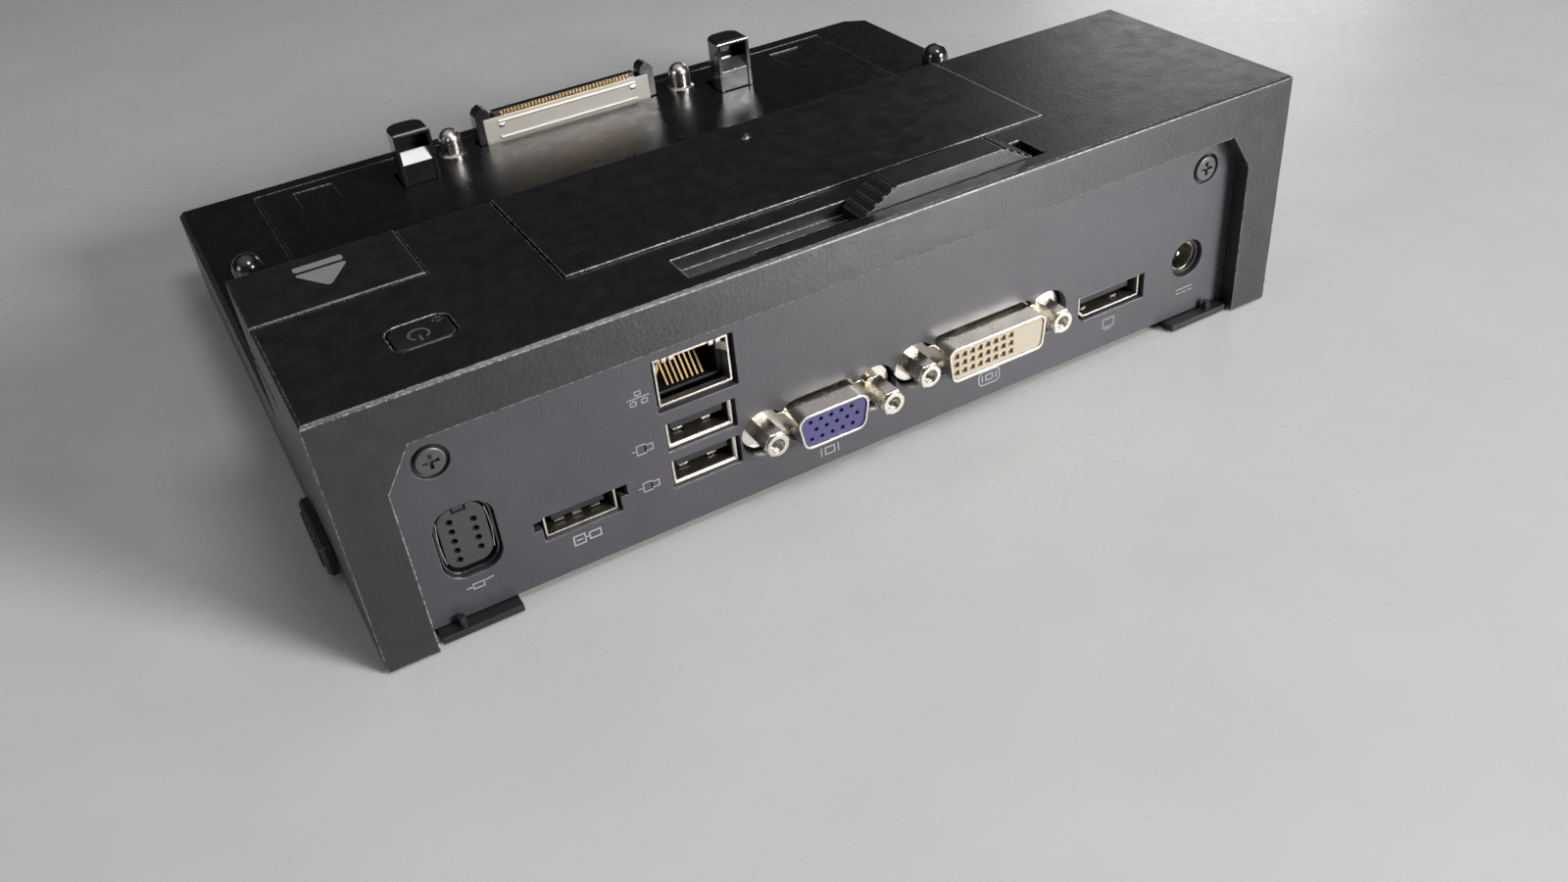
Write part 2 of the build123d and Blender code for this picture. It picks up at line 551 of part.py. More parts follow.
# ---------------------------------------------------------------- docking hooks on their shaft
def make_hook(cx):
    """One docking hook: a stem on the shaft, and a hood with a rounded front that is open to the rear.

    A tongue fills the hood's mouth; it slopes down from under the hood to an upright face."""
    half = hook_width / 2
    mouth = half - hook_frame
    hood_foot = tray_top - wall - 2.0
    nose = hook_y + hook_nose
    with BuildPart() as hook:
        slab(cx - half, cx + half, hook_y - hook_fore, nose, hood_foot, hook_top)
        fillet(hook.edges().filter_by(Axis.Z).group_by(Axis.Y)[0], 3.4)
        fillet(hook.edges().group_by(Axis.Z)[-1], 0.8)
        # Mouth in the rear face.
        slab(cx - mouth, cx + mouth, hook_y - 0.4, nose + 1, hood_foot - 1, hook_top - 1.1,
             mode=Mode.SUBTRACT)
        with BuildSketch(Plane.YZ.offset(cx - mouth - 0.1)) as tongue:
            with BuildLine():
                Polyline((hook_y - 1.0, hood_foot), (hook_y - 1.0, hook_top - 6.4),
                         (hook_y + 1.6, hook_top - 6.4),
                         (hook_y + 2.2, hook_top - 5.6), (nose - 0.4, hook_top - 8.4),
                         (nose - 0.4, hood_foot),
                         close=True)
            make_face()
        extrude(amount=2 * mouth + 0.2)
        # Stem between the hood and the shaft.
        slab(cx - half, cx + half, hook_y - hook_fore, hook_y + 2.4, shaft_z, hood_foot + 0.1)
        bar_x(hook_y, shaft_z, cx - half, cx + half, 4.2)
        bar_x(hook_y, shaft_z, cx - half - 1, cx + half + 1, shaft_r + 0.02, mode=Mode.SUBTRACT)
    return hook


left_hook = make_hook(-hook_x)
save(left_hook, "left_hook")
right_hook = make_hook(hook_x)
save(right_hook, "right_hook")

with BuildPart() as hook_shaft:
    bar_x(hook_y, shaft_z, -hook_x - hook_width / 2 - 5, lever_x + 4, shaft_r)
save(hook_shaft, "hook_shaft")

with BuildPart() as hook_crank:
    bar_x(hook_y, shaft_z, lx0, lx1, 4.0)
    slab(lx0, lx1, hook_y - 1.2, hook_y + 1.2, shaft_z - (shaft_z - strip_z) - 0.4, shaft_z)
    bar_x(hook_y, shaft_z, lx0 - 1, lx1 + 1, shaft_r + 0.02, mode=Mode.SUBTRACT)
save(hook_crank, "hook_crank")

# Brackets that the shaft turns in, standing on the base pan.
bracket_x = hook_x + hook_width / 2 + 2.6
with BuildPart() as latch_brackets:
    for bx in (-bracket_x, bracket_x - 12.2 - hook_width / 2, lever_x - 6.0):
        slab(bx - 1.0, bx + 1.0, hook_y - 3.6, hook_y + 3.6, skirt_bottom + pan_t, shaft_z + 3.6)
        slab(bx - 1.0, bx + 1.0, hook_y - 7, hook_y + 7, skirt_bottom + pan_t, skirt_bottom + pan_t + 1.2)
        bar_x(hook_y, shaft_z, bx - 2, bx + 2, shaft_r + shaft_fit, mode=Mode.SUBTRACT)
save(latch_brackets, "latch_brackets")

with BuildPart() as hook_spring:
    spring_r, spring_wire, spring_turns = 3.4, 0.45, 5
    spring_x = 20.0
    with BuildLine() as coil:
        Helix(pitch=1.4, height=1.4 * spring_turns, radius=spring_r, center=(spring_x, hook_y, shaft_z),
              direction=(1, 0, 0))
    with BuildSketch(Plane(origin=coil.line @ 0, z_dir=coil.line % 0)):
        Circle(spring_wire)
    sweep(is_frenet=True)
save(hook_spring, "hook_spring")

# ---------------------------------------------------------------- guide pins and corner posts
pin_foot = tray_top - wall - 2
collar_top = tray_top + 0.6
with BuildPart() as guide_pins:
    for sx in (-1, 1):
        with BuildSketch(upright(pin_y, sx * pin_x)) as half_profile:
            with BuildLine():
                Polyline((0, pin_foot), (pin_r, pin_foot), (pin_r, tray_top), (pin_r + pin_collar, tray_top),
                         (pin_r + pin_collar, collar_top), (pin_r, collar_top + 0.5),
                         (pin_r, pin_top - pin_r))
                RadiusArc((pin_r, pin_top - pin_r), (0, pin_top), -pin_r)
                Line((0, pin_top), (0, pin_foot))
            make_face()
        revolve(axis=Axis((sx * pin_x, pin_y, 0), (0, 0, 1)))
save(guide_pins, "guide_pins")

post_foot = tray_top - wall - 1
with BuildPart() as corner_posts:
    for sx in (-1, 1):
        with BuildSketch(upright(post_y, sx * post_x)) as half_profile:
            with BuildLine():
                Polyline((0, post_foot), (post_peg_r, post_foot), (post_peg_r, tray_top), (post_r, tray_top),
                         (post_r, tray_top + post_height - post_r))
                RadiusArc((post_r, tray_top + post_height - post_r), (0, tray_top + post_height), -post_r)
                Line((0, tray_top + post_height), (0, post_foot))
            make_face()
        revolve(axis=Axis((sx * post_x, post_y, 0), (0, 0, 1)))
save(corner_posts, "corner_posts")

# ---------------------------------------------------------------- docking connector
contact_pitch = 1.0
contact_count = 38
with BuildPart() as dock_connector:
    y0, y1 = dock_rear - dock_thick, dock_rear
    slab(-dock_half + 0.5, dock_half - 0.5, y0 + 0.5, y1 - 0.5, dock_board_z + board_thick, dock_top - 0.4)
    slab(-dock_half - 1.9, dock_half + 1.9, y0 + 0.6, y1 - 0.3, dock_board_z + board_thick,
         tray_top - wall - 0.1)
    # Raised tongue that carries the contacts.
    slab(-dock_half + 3.5, dock_half - 3.5, y0 + 1.6, y1 - 1.4, dock_top - 1, dock_top + 0.9)
    # Posts just outside the shield's ends, each with a pointed cap that leans in over the shield.
    for sx in (-1, 1):
        slab(sx * (dock_half + 0.1), sx * (dock_half + 1.9), y0 + 0.6, y1 - 0.3, dock_board_z + board_thick,
             dock_top + 1.0)
        slab(sx * (dock_half - 2.2), sx * (dock_half + 1.9), y0 + 0.6, y1 - 0.3, dock_top - 0.1,
             dock_top + 1.0)
        with BuildSketch(upright(y1 - 0.3)) as tip:
            with BuildLine():
                Polyline((sx * (dock_half - 2.2), dock_top + 1.0), (sx * (dock_half - 1.7), dock_top + 2.2),
                         (sx * (dock_half - 0.4), dock_top + 3.0), (sx * (dock_half + 1.2), dock_top + 2.2),
                         (sx * (dock_half + 1.9), dock_top + 1.0), close=True)
            make_face()
        extrude(amount=y1 - y0 - 0.9)
save(dock_connector, "dock_connector")

with BuildPart() as dock_shield:
    slab(-dock_half, dock_half, y0, y1, tray_top - wall, dock_top - 0.2)
    slab(-dock_half + 0.45, dock_half - 0.45, y0 + 0.45, y1 - 0.45, 0, dock_top + 1, mode=Mode.SUBTRACT)
    # Two pressed ridges along the rear face and a small window near each end.
    for rz in (dock_top - 1.5, tray_top + 1.0):
        with Locations((0, y1, rz)):
            Cylinder(0.35, 2 * dock_half - 8, rotation=(0, 90, 0))
    for sx in (-1, 1):
        slab(sx * (dock_half - 5.6), sx * (dock_half - 4.2), y1 - 0.46, y1 + 1, dock_top - 3.2,
             dock_top - 2.2,
             mode=Mode.SUBTRACT)
save(dock_shield, "dock_shield")

with BuildPart() as dock_contacts:
    for n in range(contact_count):
        nx = (n - (contact_count - 1) / 2) * contact_pitch
        slab(nx - 0.3, nx + 0.3, y1 - 1.4, y1 - 1.15, dock_top - 0.35, dock_top + 0.8)
save(dock_contacts, "dock_contacts")

with BuildPart() as dock_board:
    slab(-38, 38, front + 4.5, hook_y - 4.6, dock_board_z, dock_board_z + board_thick)
save(dock_board, "dock_board")

# ---------------------------------------------------------------- stiffening plate and flat cable
with BuildPart() as tray_plate:
    slab(-70, 70, hook_y + 12, block_front - 6, tray_top - wall - 1.0, tray_top - wall)
    for px, py in tray_screws + block_screws:
        post(px, py, 0, tray_top, 3.8, mode=Mode.SUBTRACT)
save(tray_plate, "tray_plate")

with BuildPart() as flat_cable:
    cable_t, cable_low = 0.3, 6.0
    cx0, cx1 = -14.0, 14.0
    slab(cx0, cx1, front + 7, front + 7 + cable_t, cable_low, dock_board_z)
    slab(cx0, cx1, front + 7, rear - 40, cable_low, cable_low + cable_t)
    slab(cx0, cx1, rear - 40, rear - 40 + cable_t, cable_low, board_top - board_thick)
save(flat_cable, "flat_cable")

# ---------------------------------------------------------------- boards
with BuildPart() as main_board:
    slab(14 - side, side - 25, rear - 57, rear - 8, board_top - board_thick, board_top)
    slab(side - 33, side - 10, rear - 24, rear - 8, board_top - board_thick, board_top)
    for px, py in block_screws:
        post(px, py, 0, 20, 4.2, mode=Mode.SUBTRACT)
save(main_board, "main_board")

with BuildPart() as board_chips:
    for x, y, w, d, t in ((-52, rear - 44, 14, 14, 1.2), (-14, rear - 46, 10, 10, 1.1),
                          (-30, rear - 40, 6, 5, 1.0),
                          (10, rear - 46, 7, 7, 0.9), (56, rear - 44, 9, 6, 1.2), (62, rear - 32, 5, 6, 1.0),
                          (-72, rear - 42, 6, 9, 1.1)):
        slab(x - w / 2, x + w / 2, y - d / 2, y + d / 2, board_top, board_top + t)
save(board_chips, "board_chips")

with BuildPart() as capacitors:
    for x, y, r, t in ((-84, rear - 34, 3.2, 8), (-76, rear - 32, 3.2, 8), (-66, rear - 32, 2.5, 6),
                       (52, rear - 30, 2.5, 6)):
        post(x, y, board_top, board_top + t, r)
    fillet(capacitors.faces().group_by(Axis.Z)[-1].edges(), 0.5)
save(capacitors, "capacitors")

# ---------------------------------------------------------------- power button, its light and its switch
button_cap = wall - 0.2
with BuildPart() as power_button:
    with BuildSketch(Plane.XY.offset(block_top - button_cap)) as cap:
        with Locations((button_x, button_y)):
            RectangleRounded(button_w, button_d, button_r)
    extrude(amount=button_cap)
    fillet(power_button.edges().group_by(Axis.Z)[-1], 0.5)
    with BuildSketch(Plane.XY.offset(block_top - button_cap - 0.8)) as flange:
        with Locations((button_x, button_y)):
            RectangleRounded(button_w + 1.8, button_d + 1.8, button_r)
    extrude(amount=0.5)
    slab(button_x - 3.5, button_x + 3.5, button_y - 3, button_y + 3, block_top - button_cap - 0.8,
         block_top - button_cap + 0.2)
    switch_top = block_top - button_cap - 0.8 - button_travel - 0.3
    light_x, light_y, light_r = button_x - 3.6, button_y - 2.5, 0.8
    post(light_x, light_y, block_top - button_cap - 2, block_top + 1, light_r + 0.02, mode=Mode.SUBTRACT)
save(power_button, "power_button")

with BuildPart() as power_light:
    post(light_x, light_y, block_top - button_cap - 0.6, block_top + 0.1, light_r)
    fillet(power_light.faces().sort_by(Axis.Z)[-1].edges(), 0.3)
save(power_light, "power_light")

with BuildPart() as button_board:
    slab(button_x - 12, button_x + 12, button_y - 7, button_y + 7, button_board_z,
         button_board_z + board_thick)
save(button_board, "button_board")

with BuildPart() as power_switch:
    slab(button_x - 3, button_x + 3, button_y - 3, button_y + 3, button_board_z + board_thick,
         switch_top - 0.8)
    post(button_x, button_y, switch_top - 0.9, switch_top, 1.6)
save(power_switch, "power_switch")

# ---------------------------------------------------------------- network and double USB stack
port_front = panel_face - port_set_back
port_back = port_front - port_depth
stack_half = lan["w"] / 2 - port_gap
stack_top = lan["z"] + lan["h"] / 2 - port_gap
lan_floor = lan["z"] - lan["h"] / 2 + port_gap
lan_w, lan_h = 12.2, 8.0
usb_w, usb_h = 12.7, 5.1
panel_back = panel_face - panel_thick
with BuildPart() as port_stack_shield:
    box_front = panel_back - 0.15
    x0, x1 = lan["x"] - stack_half, lan["x"] + stack_half
    slab(x0, x1, port_back, box_front, board_top + 0.1, stack_top)
    slab(x0 + sheet, x1 - sheet, port_back + sheet, box_front - sheet, 0, stack_top - sheet,
         mode=Mode.SUBTRACT)
    # Nose of the network socket, which reaches into the panel's opening.
    slab(x0, x1, box_front - sheet, port_front, lan_floor, stack_top)
    slab(x0 + sheet, x1 - sheet, box_front - 2, port_front + 1, lan_floor + sheet, stack_top - sheet,
         mode=Mode.SUBTRACT)
    for port in usb:
        slab(port["x"] - usb_w / 2 - sheet - 0.05, port["x"] + usb_w / 2 + sheet + 0.05, box_front - 2,
             box_front + 1, port["z"] - usb_h / 2 - sheet - 0.05, port["z"] + usb_h / 2 + sheet + 0.05,
             mode=Mode.SUBTRACT)
save(port_stack_shield, "port_stack_shield")

lip = 0.25                    # how far a shell's mouth is turned in
lip_depth = 1.0
with BuildPart() as usb_shells:
    for port in usb:
        px, pz = port["x"], port["z"]
        half_w, half_h = usb_w / 2, usb_h / 2
        shell_back = port_front - 12
        slab(px - half_w - sheet, px + half_w + sheet, shell_back, port_front, pz - half_h - sheet,
             pz + half_h + sheet)
        slab(px - half_w, px + half_w, shell_back - 1, port_front - lip_depth, pz - half_h, pz + half_h,
             mode=Mode.SUBTRACT)
        slab(px - half_w + lip, px + half_w - lip, port_front - 2, port_front + 1, pz - half_h + lip,
             pz + half_h - lip, mode=Mode.SUBTRACT)
        # Windows in the lower wall, each with a raised spring tab.
        for wx in (-3.0, 3.0):
            slab(px + wx - 1.1, px + wx + 1.1, port_front - 6.5, port_front - 3.5, pz - half_h - sheet - 1,
                 pz - half_h + 1, mode=Mode.SUBTRACT)
            slab(px + wx - 0.8, px + wx + 0.8, port_front - 6.6, port_front - 4.0, pz - half_h - 0.1,
                 pz - half_h + 0.3)
    mouths = usb_shells.faces().sort_by(Axis.Y)[-2:]
    chamfer([e for face in mouths for wire in face.inner_wires() for e in wire.edges()], 0.3)
save(usb_shells, "usb_shells")

lan_set_back = 3.0            # the moulded body behind the shield's front edge
lan_inner = lan_w / 2
with BuildPart() as port_stack_body:
    bx0, bx1 = lan["x"] - stack_half + sheet + 0.05, lan["x"] + stack_half - sheet - 0.05
    by = port_back + sheet + 0.05
    lan_face = port_front - lan_set_back
    slab(bx0, bx1, by, lan_face, lan_floor + sheet + 0.05, stack_top - sheet - 0.05)
    lan_z = lan_floor + 1.0
    slab(lan["x"] - lan_inner, lan["x"] + lan_inner, port_front - 15, lan_face + 1, lan_z, lan_z + lan_h,
         mode=Mode.SUBTRACT)
    slab(bx0, bx1, by, port_front - 12.2, board_top + 0.1, lan_floor + sheet + 0.1)
save(port_stack_body, "port_stack_body")

lan_wires = 8
lan_pitch = 1.02
wire_t = 0.35
wire_run, wire_rise = 5.6, 4.6
with BuildPart() as lan_contacts:
    for n in range(lan_wires):
        nx = lan["x"] + (n - (lan_wires - 1) / 2) * lan_pitch
        with BuildSketch(Plane.YZ.offset(nx - wire_t / 2)) as wire:
            with BuildLine():
                Polyline((lan_face - 1.3, lan_z), (lan_face - 1.3 - wire_t, lan_z),
                         (lan_face - wire_run, lan_z + wire_rise),
                         (lan_face - 12.0, lan_z + wire_rise), (lan_face - 12.0, lan_z + wire_rise + wire_t),
                         (lan_face - wire_run + wire_t / 2, lan_z + wire_rise + wire_t), close=True)
            make_face()
        extrude(amount=wire_t)
save(lan_contacts, "lan_contacts")

with BuildPart() as lan_springs:
    for sx in (-1, 1):
        root = lan["x"] + sx * (stack_half - sheet)
        with BuildSketch(Plane.XY.offset(lan_z + lan_h - 2.6)) as tab:
            with BuildLine():
                Polyline((root, port_front - 0.2), (root - sx * 1.3, port_front - 2.0),
                         (root - sx * 1.3, port_front - 2.3), (root, port_front - 0.7), close=True)
            make_face()
        extrude(amount=1.8)
save(lan_springs, "lan_springs")

with BuildPart() as usb_tongues:
    for port in usb:
        slab(port["x"] - 5.4, port["x"] + 5.4, port_front - 12.2, port_front - 1.2, port["z"] + 0.2,
             port["z"] + 2.0)
save(usb_tongues, "usb_tongues")

with BuildPart() as usb_contacts:
    for port in usb:
        for nx in (-3.5, -1.0, 1.0, 3.5):
            slab(port["x"] + nx - 0.5, port["x"] + nx + 0.5, port_front - 11, port_front - 1.8,
                 port["z"] - 0.05, port["z"] + 0.2)
save(usb_contacts, "usb_contacts")

# ---------------------------------------------------------------- combined port
with BuildPart() as combo_shield:
    cw, ch = combo["w"] / 2 - 0.6, combo["h"] / 2 - 0.15
    slab(combo["x"] - cw, combo["x"] + cw, port_back + 4, port_front, combo["z"] - ch, combo["z"] + ch)
    slab(combo["x"] - cw + sheet, combo["x"] + cw - sheet, port_back + 6, port_front + 1,
         combo["z"] - ch + sheet, combo["z"] + ch - sheet, mode=Mode.SUBTRACT)
    slab(combo["x"] - cw + 2, combo["x"] + cw - 2, port_back + 5, port_front - 7, board_top,
         combo["z"] - ch + 0.05)
    # Windows in the lower wall, each with a raised spring tab.
    combo_floor = combo["z"] - ch + sheet
    for wx in (-3.6, 0, 3.6):
        slab(combo["x"] + wx - 1.1, combo["x"] + wx + 1.1, port_front - 5.6, port_front - 2.6,
             combo_floor - sheet - 0.5, combo_floor + 0.5, mode=Mode.SUBTRACT)
        slab(combo["x"] + wx - 0.8, combo["x"] + wx + 0.8, port_front - 5.7, port_front - 3.2,
             combo_floor - 0.1, combo_floor + 0.3)
save(combo_shield, "combo_shield")

with BuildPart() as combo_tongue:
    slab(combo["x"] - 5.2, combo["x"] + 5.2, port_back + 6, port_front - 1.4, combo["z"] - 0.3,
         combo["z"] + 1.5)
save(combo_tongue, "combo_tongue")

# ---------------------------------------------------------------- two video sockets
def video_shell(port, name):
    """Nickel shell of a video socket: a flange against the panel, and the D-shaped collar."""
    flange_face = panel_back - 0.1
    with BuildPart() as shell:
        with BuildSketch(upright(flange_face, port["x"], port["z"])) as plate:
            SlotOverall(2 * port["nuts"] + 8.6, 8.6)
        push(plate.sketch, 0.8)
        push(shield_outline(port["w"], port["h"], port["slope"], port["r"], port["x"], port["z"],
                            shell_front),
             shell_front - flange_face + 0.4)
        push(shield_outline(port["w"] - 2 * shell_wall, port["h"] - 2 * shell_wall, port["slope"],
                            port["r"] - shell_wall * 0.6, port["x"], port["z"], shell_front + 1),
             shell_front - flange_face + 4, mode=Mode.SUBTRACT)
        for sx in (-1, 1):
            bar_y(port["x"] + sx * port["nuts"], port["z"], flange_face - 3, flange_face + 3, 1.6,
                  mode=Mode.SUBTRACT)
    save(shell, name)


def jack_nuts(port, name):
    """The two hexagon nuts with threaded bores that a plug's screws go into."""
    seat = panel_back - 0.1
    with BuildPart() as nuts:
        for sx in (-1, 1):
            cx = port["x"] + sx * port["nuts"]
            tip = seat + nut_length + (port["loose"] if sx < 0 else 0)
            with BuildSketch(upright(tip - 0.6, cx, port["z"])) as hexagon:
                RegularPolygon(nut_r, 6, major_radius=False)
            push(hexagon.sketch, nut_length - 0.6)
            bar_y(cx, port["z"], tip - 1, tip, nut_r - 0.1)
            bar_y(cx, port["z"], seat - 3, tip - nut_length + 0.1, 1.45)
            bar_y(cx, port["z"], tip - 5, tip + 1, nut_bore, mode=Mode.SUBTRACT)
    save(nuts, name)


def video_insert(port, holes, hole_shape, name):
    """The moulded insert of a video socket with its contact holes, reaching back to the board."""
    lift = 0.05
    with BuildPart() as insert:
        face = shell_front - 0.35
        push(shield_outline(port["w"] - 2 * shell_wall - 2 * lift, port["h"] - 2 * shell_wall - 2 * lift,
                            port["slope"], port["r"] - shell_wall * 0.6, port["x"], port["z"], face), 9.0)
        for hx, hz in holes:
            with Locations((port["x"] + hx, face, port["z"] + hz)):
                if hole_shape == "round":
                    Cylinder(0.45, 5, rotation=(90, 0, 0), mode=Mode.SUBTRACT)
                else:
                    Box(1.25, 5, 1.25, mode=Mode.SUBTRACT)
        back = face - 9.0
        slab(port["x"] - port["w"] / 2 + 2, port["x"] + port["w"] / 2 - 2, back - 4, back + 0.1, board_top,
             port["z"] + 2.5)
    save(insert, name)


vga_pitch = 2.29
vga_holes = [((n - 2) * vga_pitch + (0.57 if row != 1 else -0.57), (1 - row) * 1.98)
             for row in range(3) for n in range(5)]
dvi_pitch = 1.905
dvi_holes = [(10.1 - n * dvi_pitch, (1 - row) * dvi_pitch) for row in range(3) for n in range(8)]
video_shell(vga, "vga_shell")
jack_nuts(vga, "vga_jack_nuts")
video_insert(vga, vga_holes, "round", "vga_insert")
video_shell(dvi, "dvi_shell")
jack_nuts(dvi, "dvi_jack_nuts")
video_insert(dvi, dvi_holes, "square", "dvi_insert")

# ---------------------------------------------------------------- small digital video socket
with BuildPart() as display_shell:
    dw, dh = display["w"] - 2 * 0.7, display["h"] - 2 * 0.4
    push(keyed_outline(dw, dh, display["cut"], display["x"], display["z"], port_front), 12)
    push(keyed_outline(dw - 2 * sheet, dh - 2 * sheet, display["cut"], display["x"], display["z"],
                       port_front + 1), 12, mode=Mode.SUBTRACT)
    slab(display["x"] - 5, display["x"] + 5, port_front - 11, port_front - 3, board_top,
         display["z"] - dh / 2 + 0.05)
save(display_shell, "display_shell")

with BuildPart() as display_tongue:
    slab(display["x"] - 6.6, display["x"] + 6.6, port_front - 11, port_front - 1.6, display["z"] - 0.4,
         display["z"] + 0.9)
save(display_tongue, "display_tongue")

# ---------------------------------------------------------------- power jack
with BuildPart() as power_jack:
    bar_y(power["x"], power["z"], port_front - 12, port_front, power["r"] - 0.3)
    slab(power["x"] - 5.2, power["x"] + 5.2, port_front - 14, port_front - 3, board_top, power["z"] + 5.2)
    bar_y(power["x"], power["z"], port_front - 10.5, port_front + 1, 3.4, mode=Mode.SUBTRACT)
save(power_jack, "power_jack")

with BuildPart() as power_jack_sleeve:
    bar_y(power["x"], power["z"], port_front - 10.4, port_front - 0.6, 3.35)
    bar_y(power["x"], power["z"], port_front - 11, port_front, 3.0, mode=Mode.SUBTRACT)
save(power_jack_sleeve, "power_jack_sleeve")

with BuildPart() as power_jack_pin:
    bar_y(power["x"], power["z"], port_front - 10.5, port_front - 1.6, 0.6)
    fillet(power_jack_pin.edges().group_by(Axis.Y)[-1], 0.3)
save(power_jack_pin, "power_jack_pin")

# ---------------------------------------------------------------- nine-way square socket
with BuildPart() as stand_shell:
    push(box_outline(stand["w"] - 0.6, stand["h"] - 0.6, stand["r"] - 0.3, stand["x"], stand["z"],
                     port_front), 11)
    push(box_outline(stand["w"] - 1.4, stand["h"] - 1.4, stand["r"] - 0.7, stand["x"], stand["z"],
                     port_front + 1), 11, mode=Mode.SUBTRACT)
    slab(stand["x"] - 1, stand["x"] + 1, port_front - 5, port_front - 0.5, stand["z"] + stand["h"] / 2 - 1.9,
         stand["z"] + stand["h"] / 2 - 0.5)
save(stand_shell, "stand_shell")

with BuildPart() as stand_insert:
    insert_face = port_front - 0.6
    push(box_outline(stand["w"] - 2.6, stand["h"] - 2.6, stand["r"] - 1.2, stand["x"], stand["z"],
                     insert_face), 9.4)
    notch_top = stand["z"] + stand["h"] / 2
    slab(stand["x"] - 1.3, stand["x"] + 1.3, insert_face - 6, insert_face + 1, notch_top - 2.4, notch_top,
         mode=Mode.SUBTRACT)
    for count, hx in ((5, 2.1), (4, -2.1)):
        for n in range(count):
            bar_y(stand["x"] + hx, stand["z"] + ((count - 1) / 2 - n) * 2.1 - 0.4, port_front - 5,
                  port_front, 0.62,
                  mode=Mode.SUBTRACT)
save(stand_insert, "stand_insert")

# ---------------------------------------------------------------- lock slide on the right side wall
with BuildPart() as lock_slide:
    slab(side + lock_gap, side + 2.2, lock_y0, lock_y1, lock_z0, lock_z1)
    chamfer(lock_slide.faces().sort_by(Axis.X)[-1].edges(), 0.6)
    for n in range(5):
        ry = lock_y0 + 3 + 3 * n
        slab(side + 2.1, side + 2.6, ry - 0.5, ry + 0.5, lock_z0 + 1, lock_z1 - 1)
    # Stem through the slot, and the head that holds it behind the wall.
    slab(side - wall - 0.5, side + 0.5, lock_stem_y, lock_stem_y + lock_stem, lock_mid - lock_stem_h / 2,
         lock_mid + lock_stem_h / 2)
    slab(side - wall - 1.2, side - wall - lock_gap, lock_stem_y - 0.8, lock_stem_y + lock_stem + 0.8,
         lock_mid - 2.0, lock_mid + 2.0)
save(lock_slide, "lock_slide")
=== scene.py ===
import json
import math

import bmesh
import bpy
import numpy as np
from mathutils import Matrix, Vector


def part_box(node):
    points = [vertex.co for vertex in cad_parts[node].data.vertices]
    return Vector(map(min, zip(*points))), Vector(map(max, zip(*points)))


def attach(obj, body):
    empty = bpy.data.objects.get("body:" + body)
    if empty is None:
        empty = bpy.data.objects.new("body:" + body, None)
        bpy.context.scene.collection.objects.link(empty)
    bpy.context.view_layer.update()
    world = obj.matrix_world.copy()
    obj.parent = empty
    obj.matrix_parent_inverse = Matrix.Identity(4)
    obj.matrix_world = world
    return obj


bl_info = {
    "name": "Docking station looks",
    "version": (1, 0, 0),
    "blender": (4, 5, 0),
    "location": "3D View > Sidebar > Dock",
    "description": "Finishes and small parts of a laptop docking station",
    "category": "Object",
}

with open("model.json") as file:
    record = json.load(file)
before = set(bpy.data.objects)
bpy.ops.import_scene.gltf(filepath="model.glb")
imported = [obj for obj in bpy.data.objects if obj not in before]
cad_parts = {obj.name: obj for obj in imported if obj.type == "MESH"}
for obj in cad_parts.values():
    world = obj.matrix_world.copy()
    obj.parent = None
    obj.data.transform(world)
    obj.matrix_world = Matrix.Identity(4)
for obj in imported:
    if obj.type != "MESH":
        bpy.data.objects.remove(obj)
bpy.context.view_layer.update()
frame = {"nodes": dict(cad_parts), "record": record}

MM = 0.001
UP = np.array((0.0, 0.0, 1.0))
ACROSS = np.array((1.0, 0.0, 0.0))
REARWARD = np.array((0.0, 1.0, 0.0))
SMOOTH_UNDER = math.radians(40.0)


# ---------------------------------------------------------------- surfaces
def unit(v):
    """v divided by its length, row by row."""
    v = np.asarray(v, float)
    return v / np.linalg.norm(v, axis=-1, keepdims=True)


def lattice(points, wrap_u=False, wrap_v=True, caps=False):
    """Grid of quads: face (i, j) joins points (i, j), (i+1, j), (i+1, j+1) and (i, j+1).

    Caps close the two end rows."""
    nu, nv = points.shape[:2]
    i = np.arange(nu if wrap_u else nu - 1)
    j = np.arange(nv if wrap_v else nv - 1)
    a, b = np.meshgrid(i, j, indexing="ij")
    c, d = (a + 1) % nu, (b + 1) % nv
    faces = np.stack([a * nv + b, c * nv + b, c * nv + d, a * nv + d], -1).reshape(-1, 4).tolist()
    if caps:
        faces += [list(range(nv))[::-1], list(range((nu - 1) * nv, nu * nv))]
    return points.reshape(-1, 3), faces


def strap(path, across, wide, thick, closed=False):
    """Flat bar along a path: corner = path + s * (wide / 2) * across + t * (thick / 2) * side.

    S and t are each -1 or 1. Side is square to across and to the path, and at each corner it is longer by
    1 / cos(half the bend)."""
    path, across = np.asarray(path, float), unit(across)
    step = np.roll(path, -1, 0) - path if closed else np.diff(path, axis=0)
    side = np.cross(across, unit(step))
    before = np.roll(side, 1, 0) if closed else np.vstack([side[:1], side])
    after = side if closed else np.vstack([side, side[-1:]])
    mean = unit(before + after)
    mean = mean / np.sum(mean * after, axis=1, keepdims=True)
    signs = np.array(((-1, -1), (1, -1), (1, 1), (-1, 1)), float)
    points = (path[:, None] + signs[None, :, :1] * across * wide / 2
              + signs[None, :, 1:] * mean[:, None] * thick / 2)
    return lattice(points, wrap_u=closed, caps=not closed)


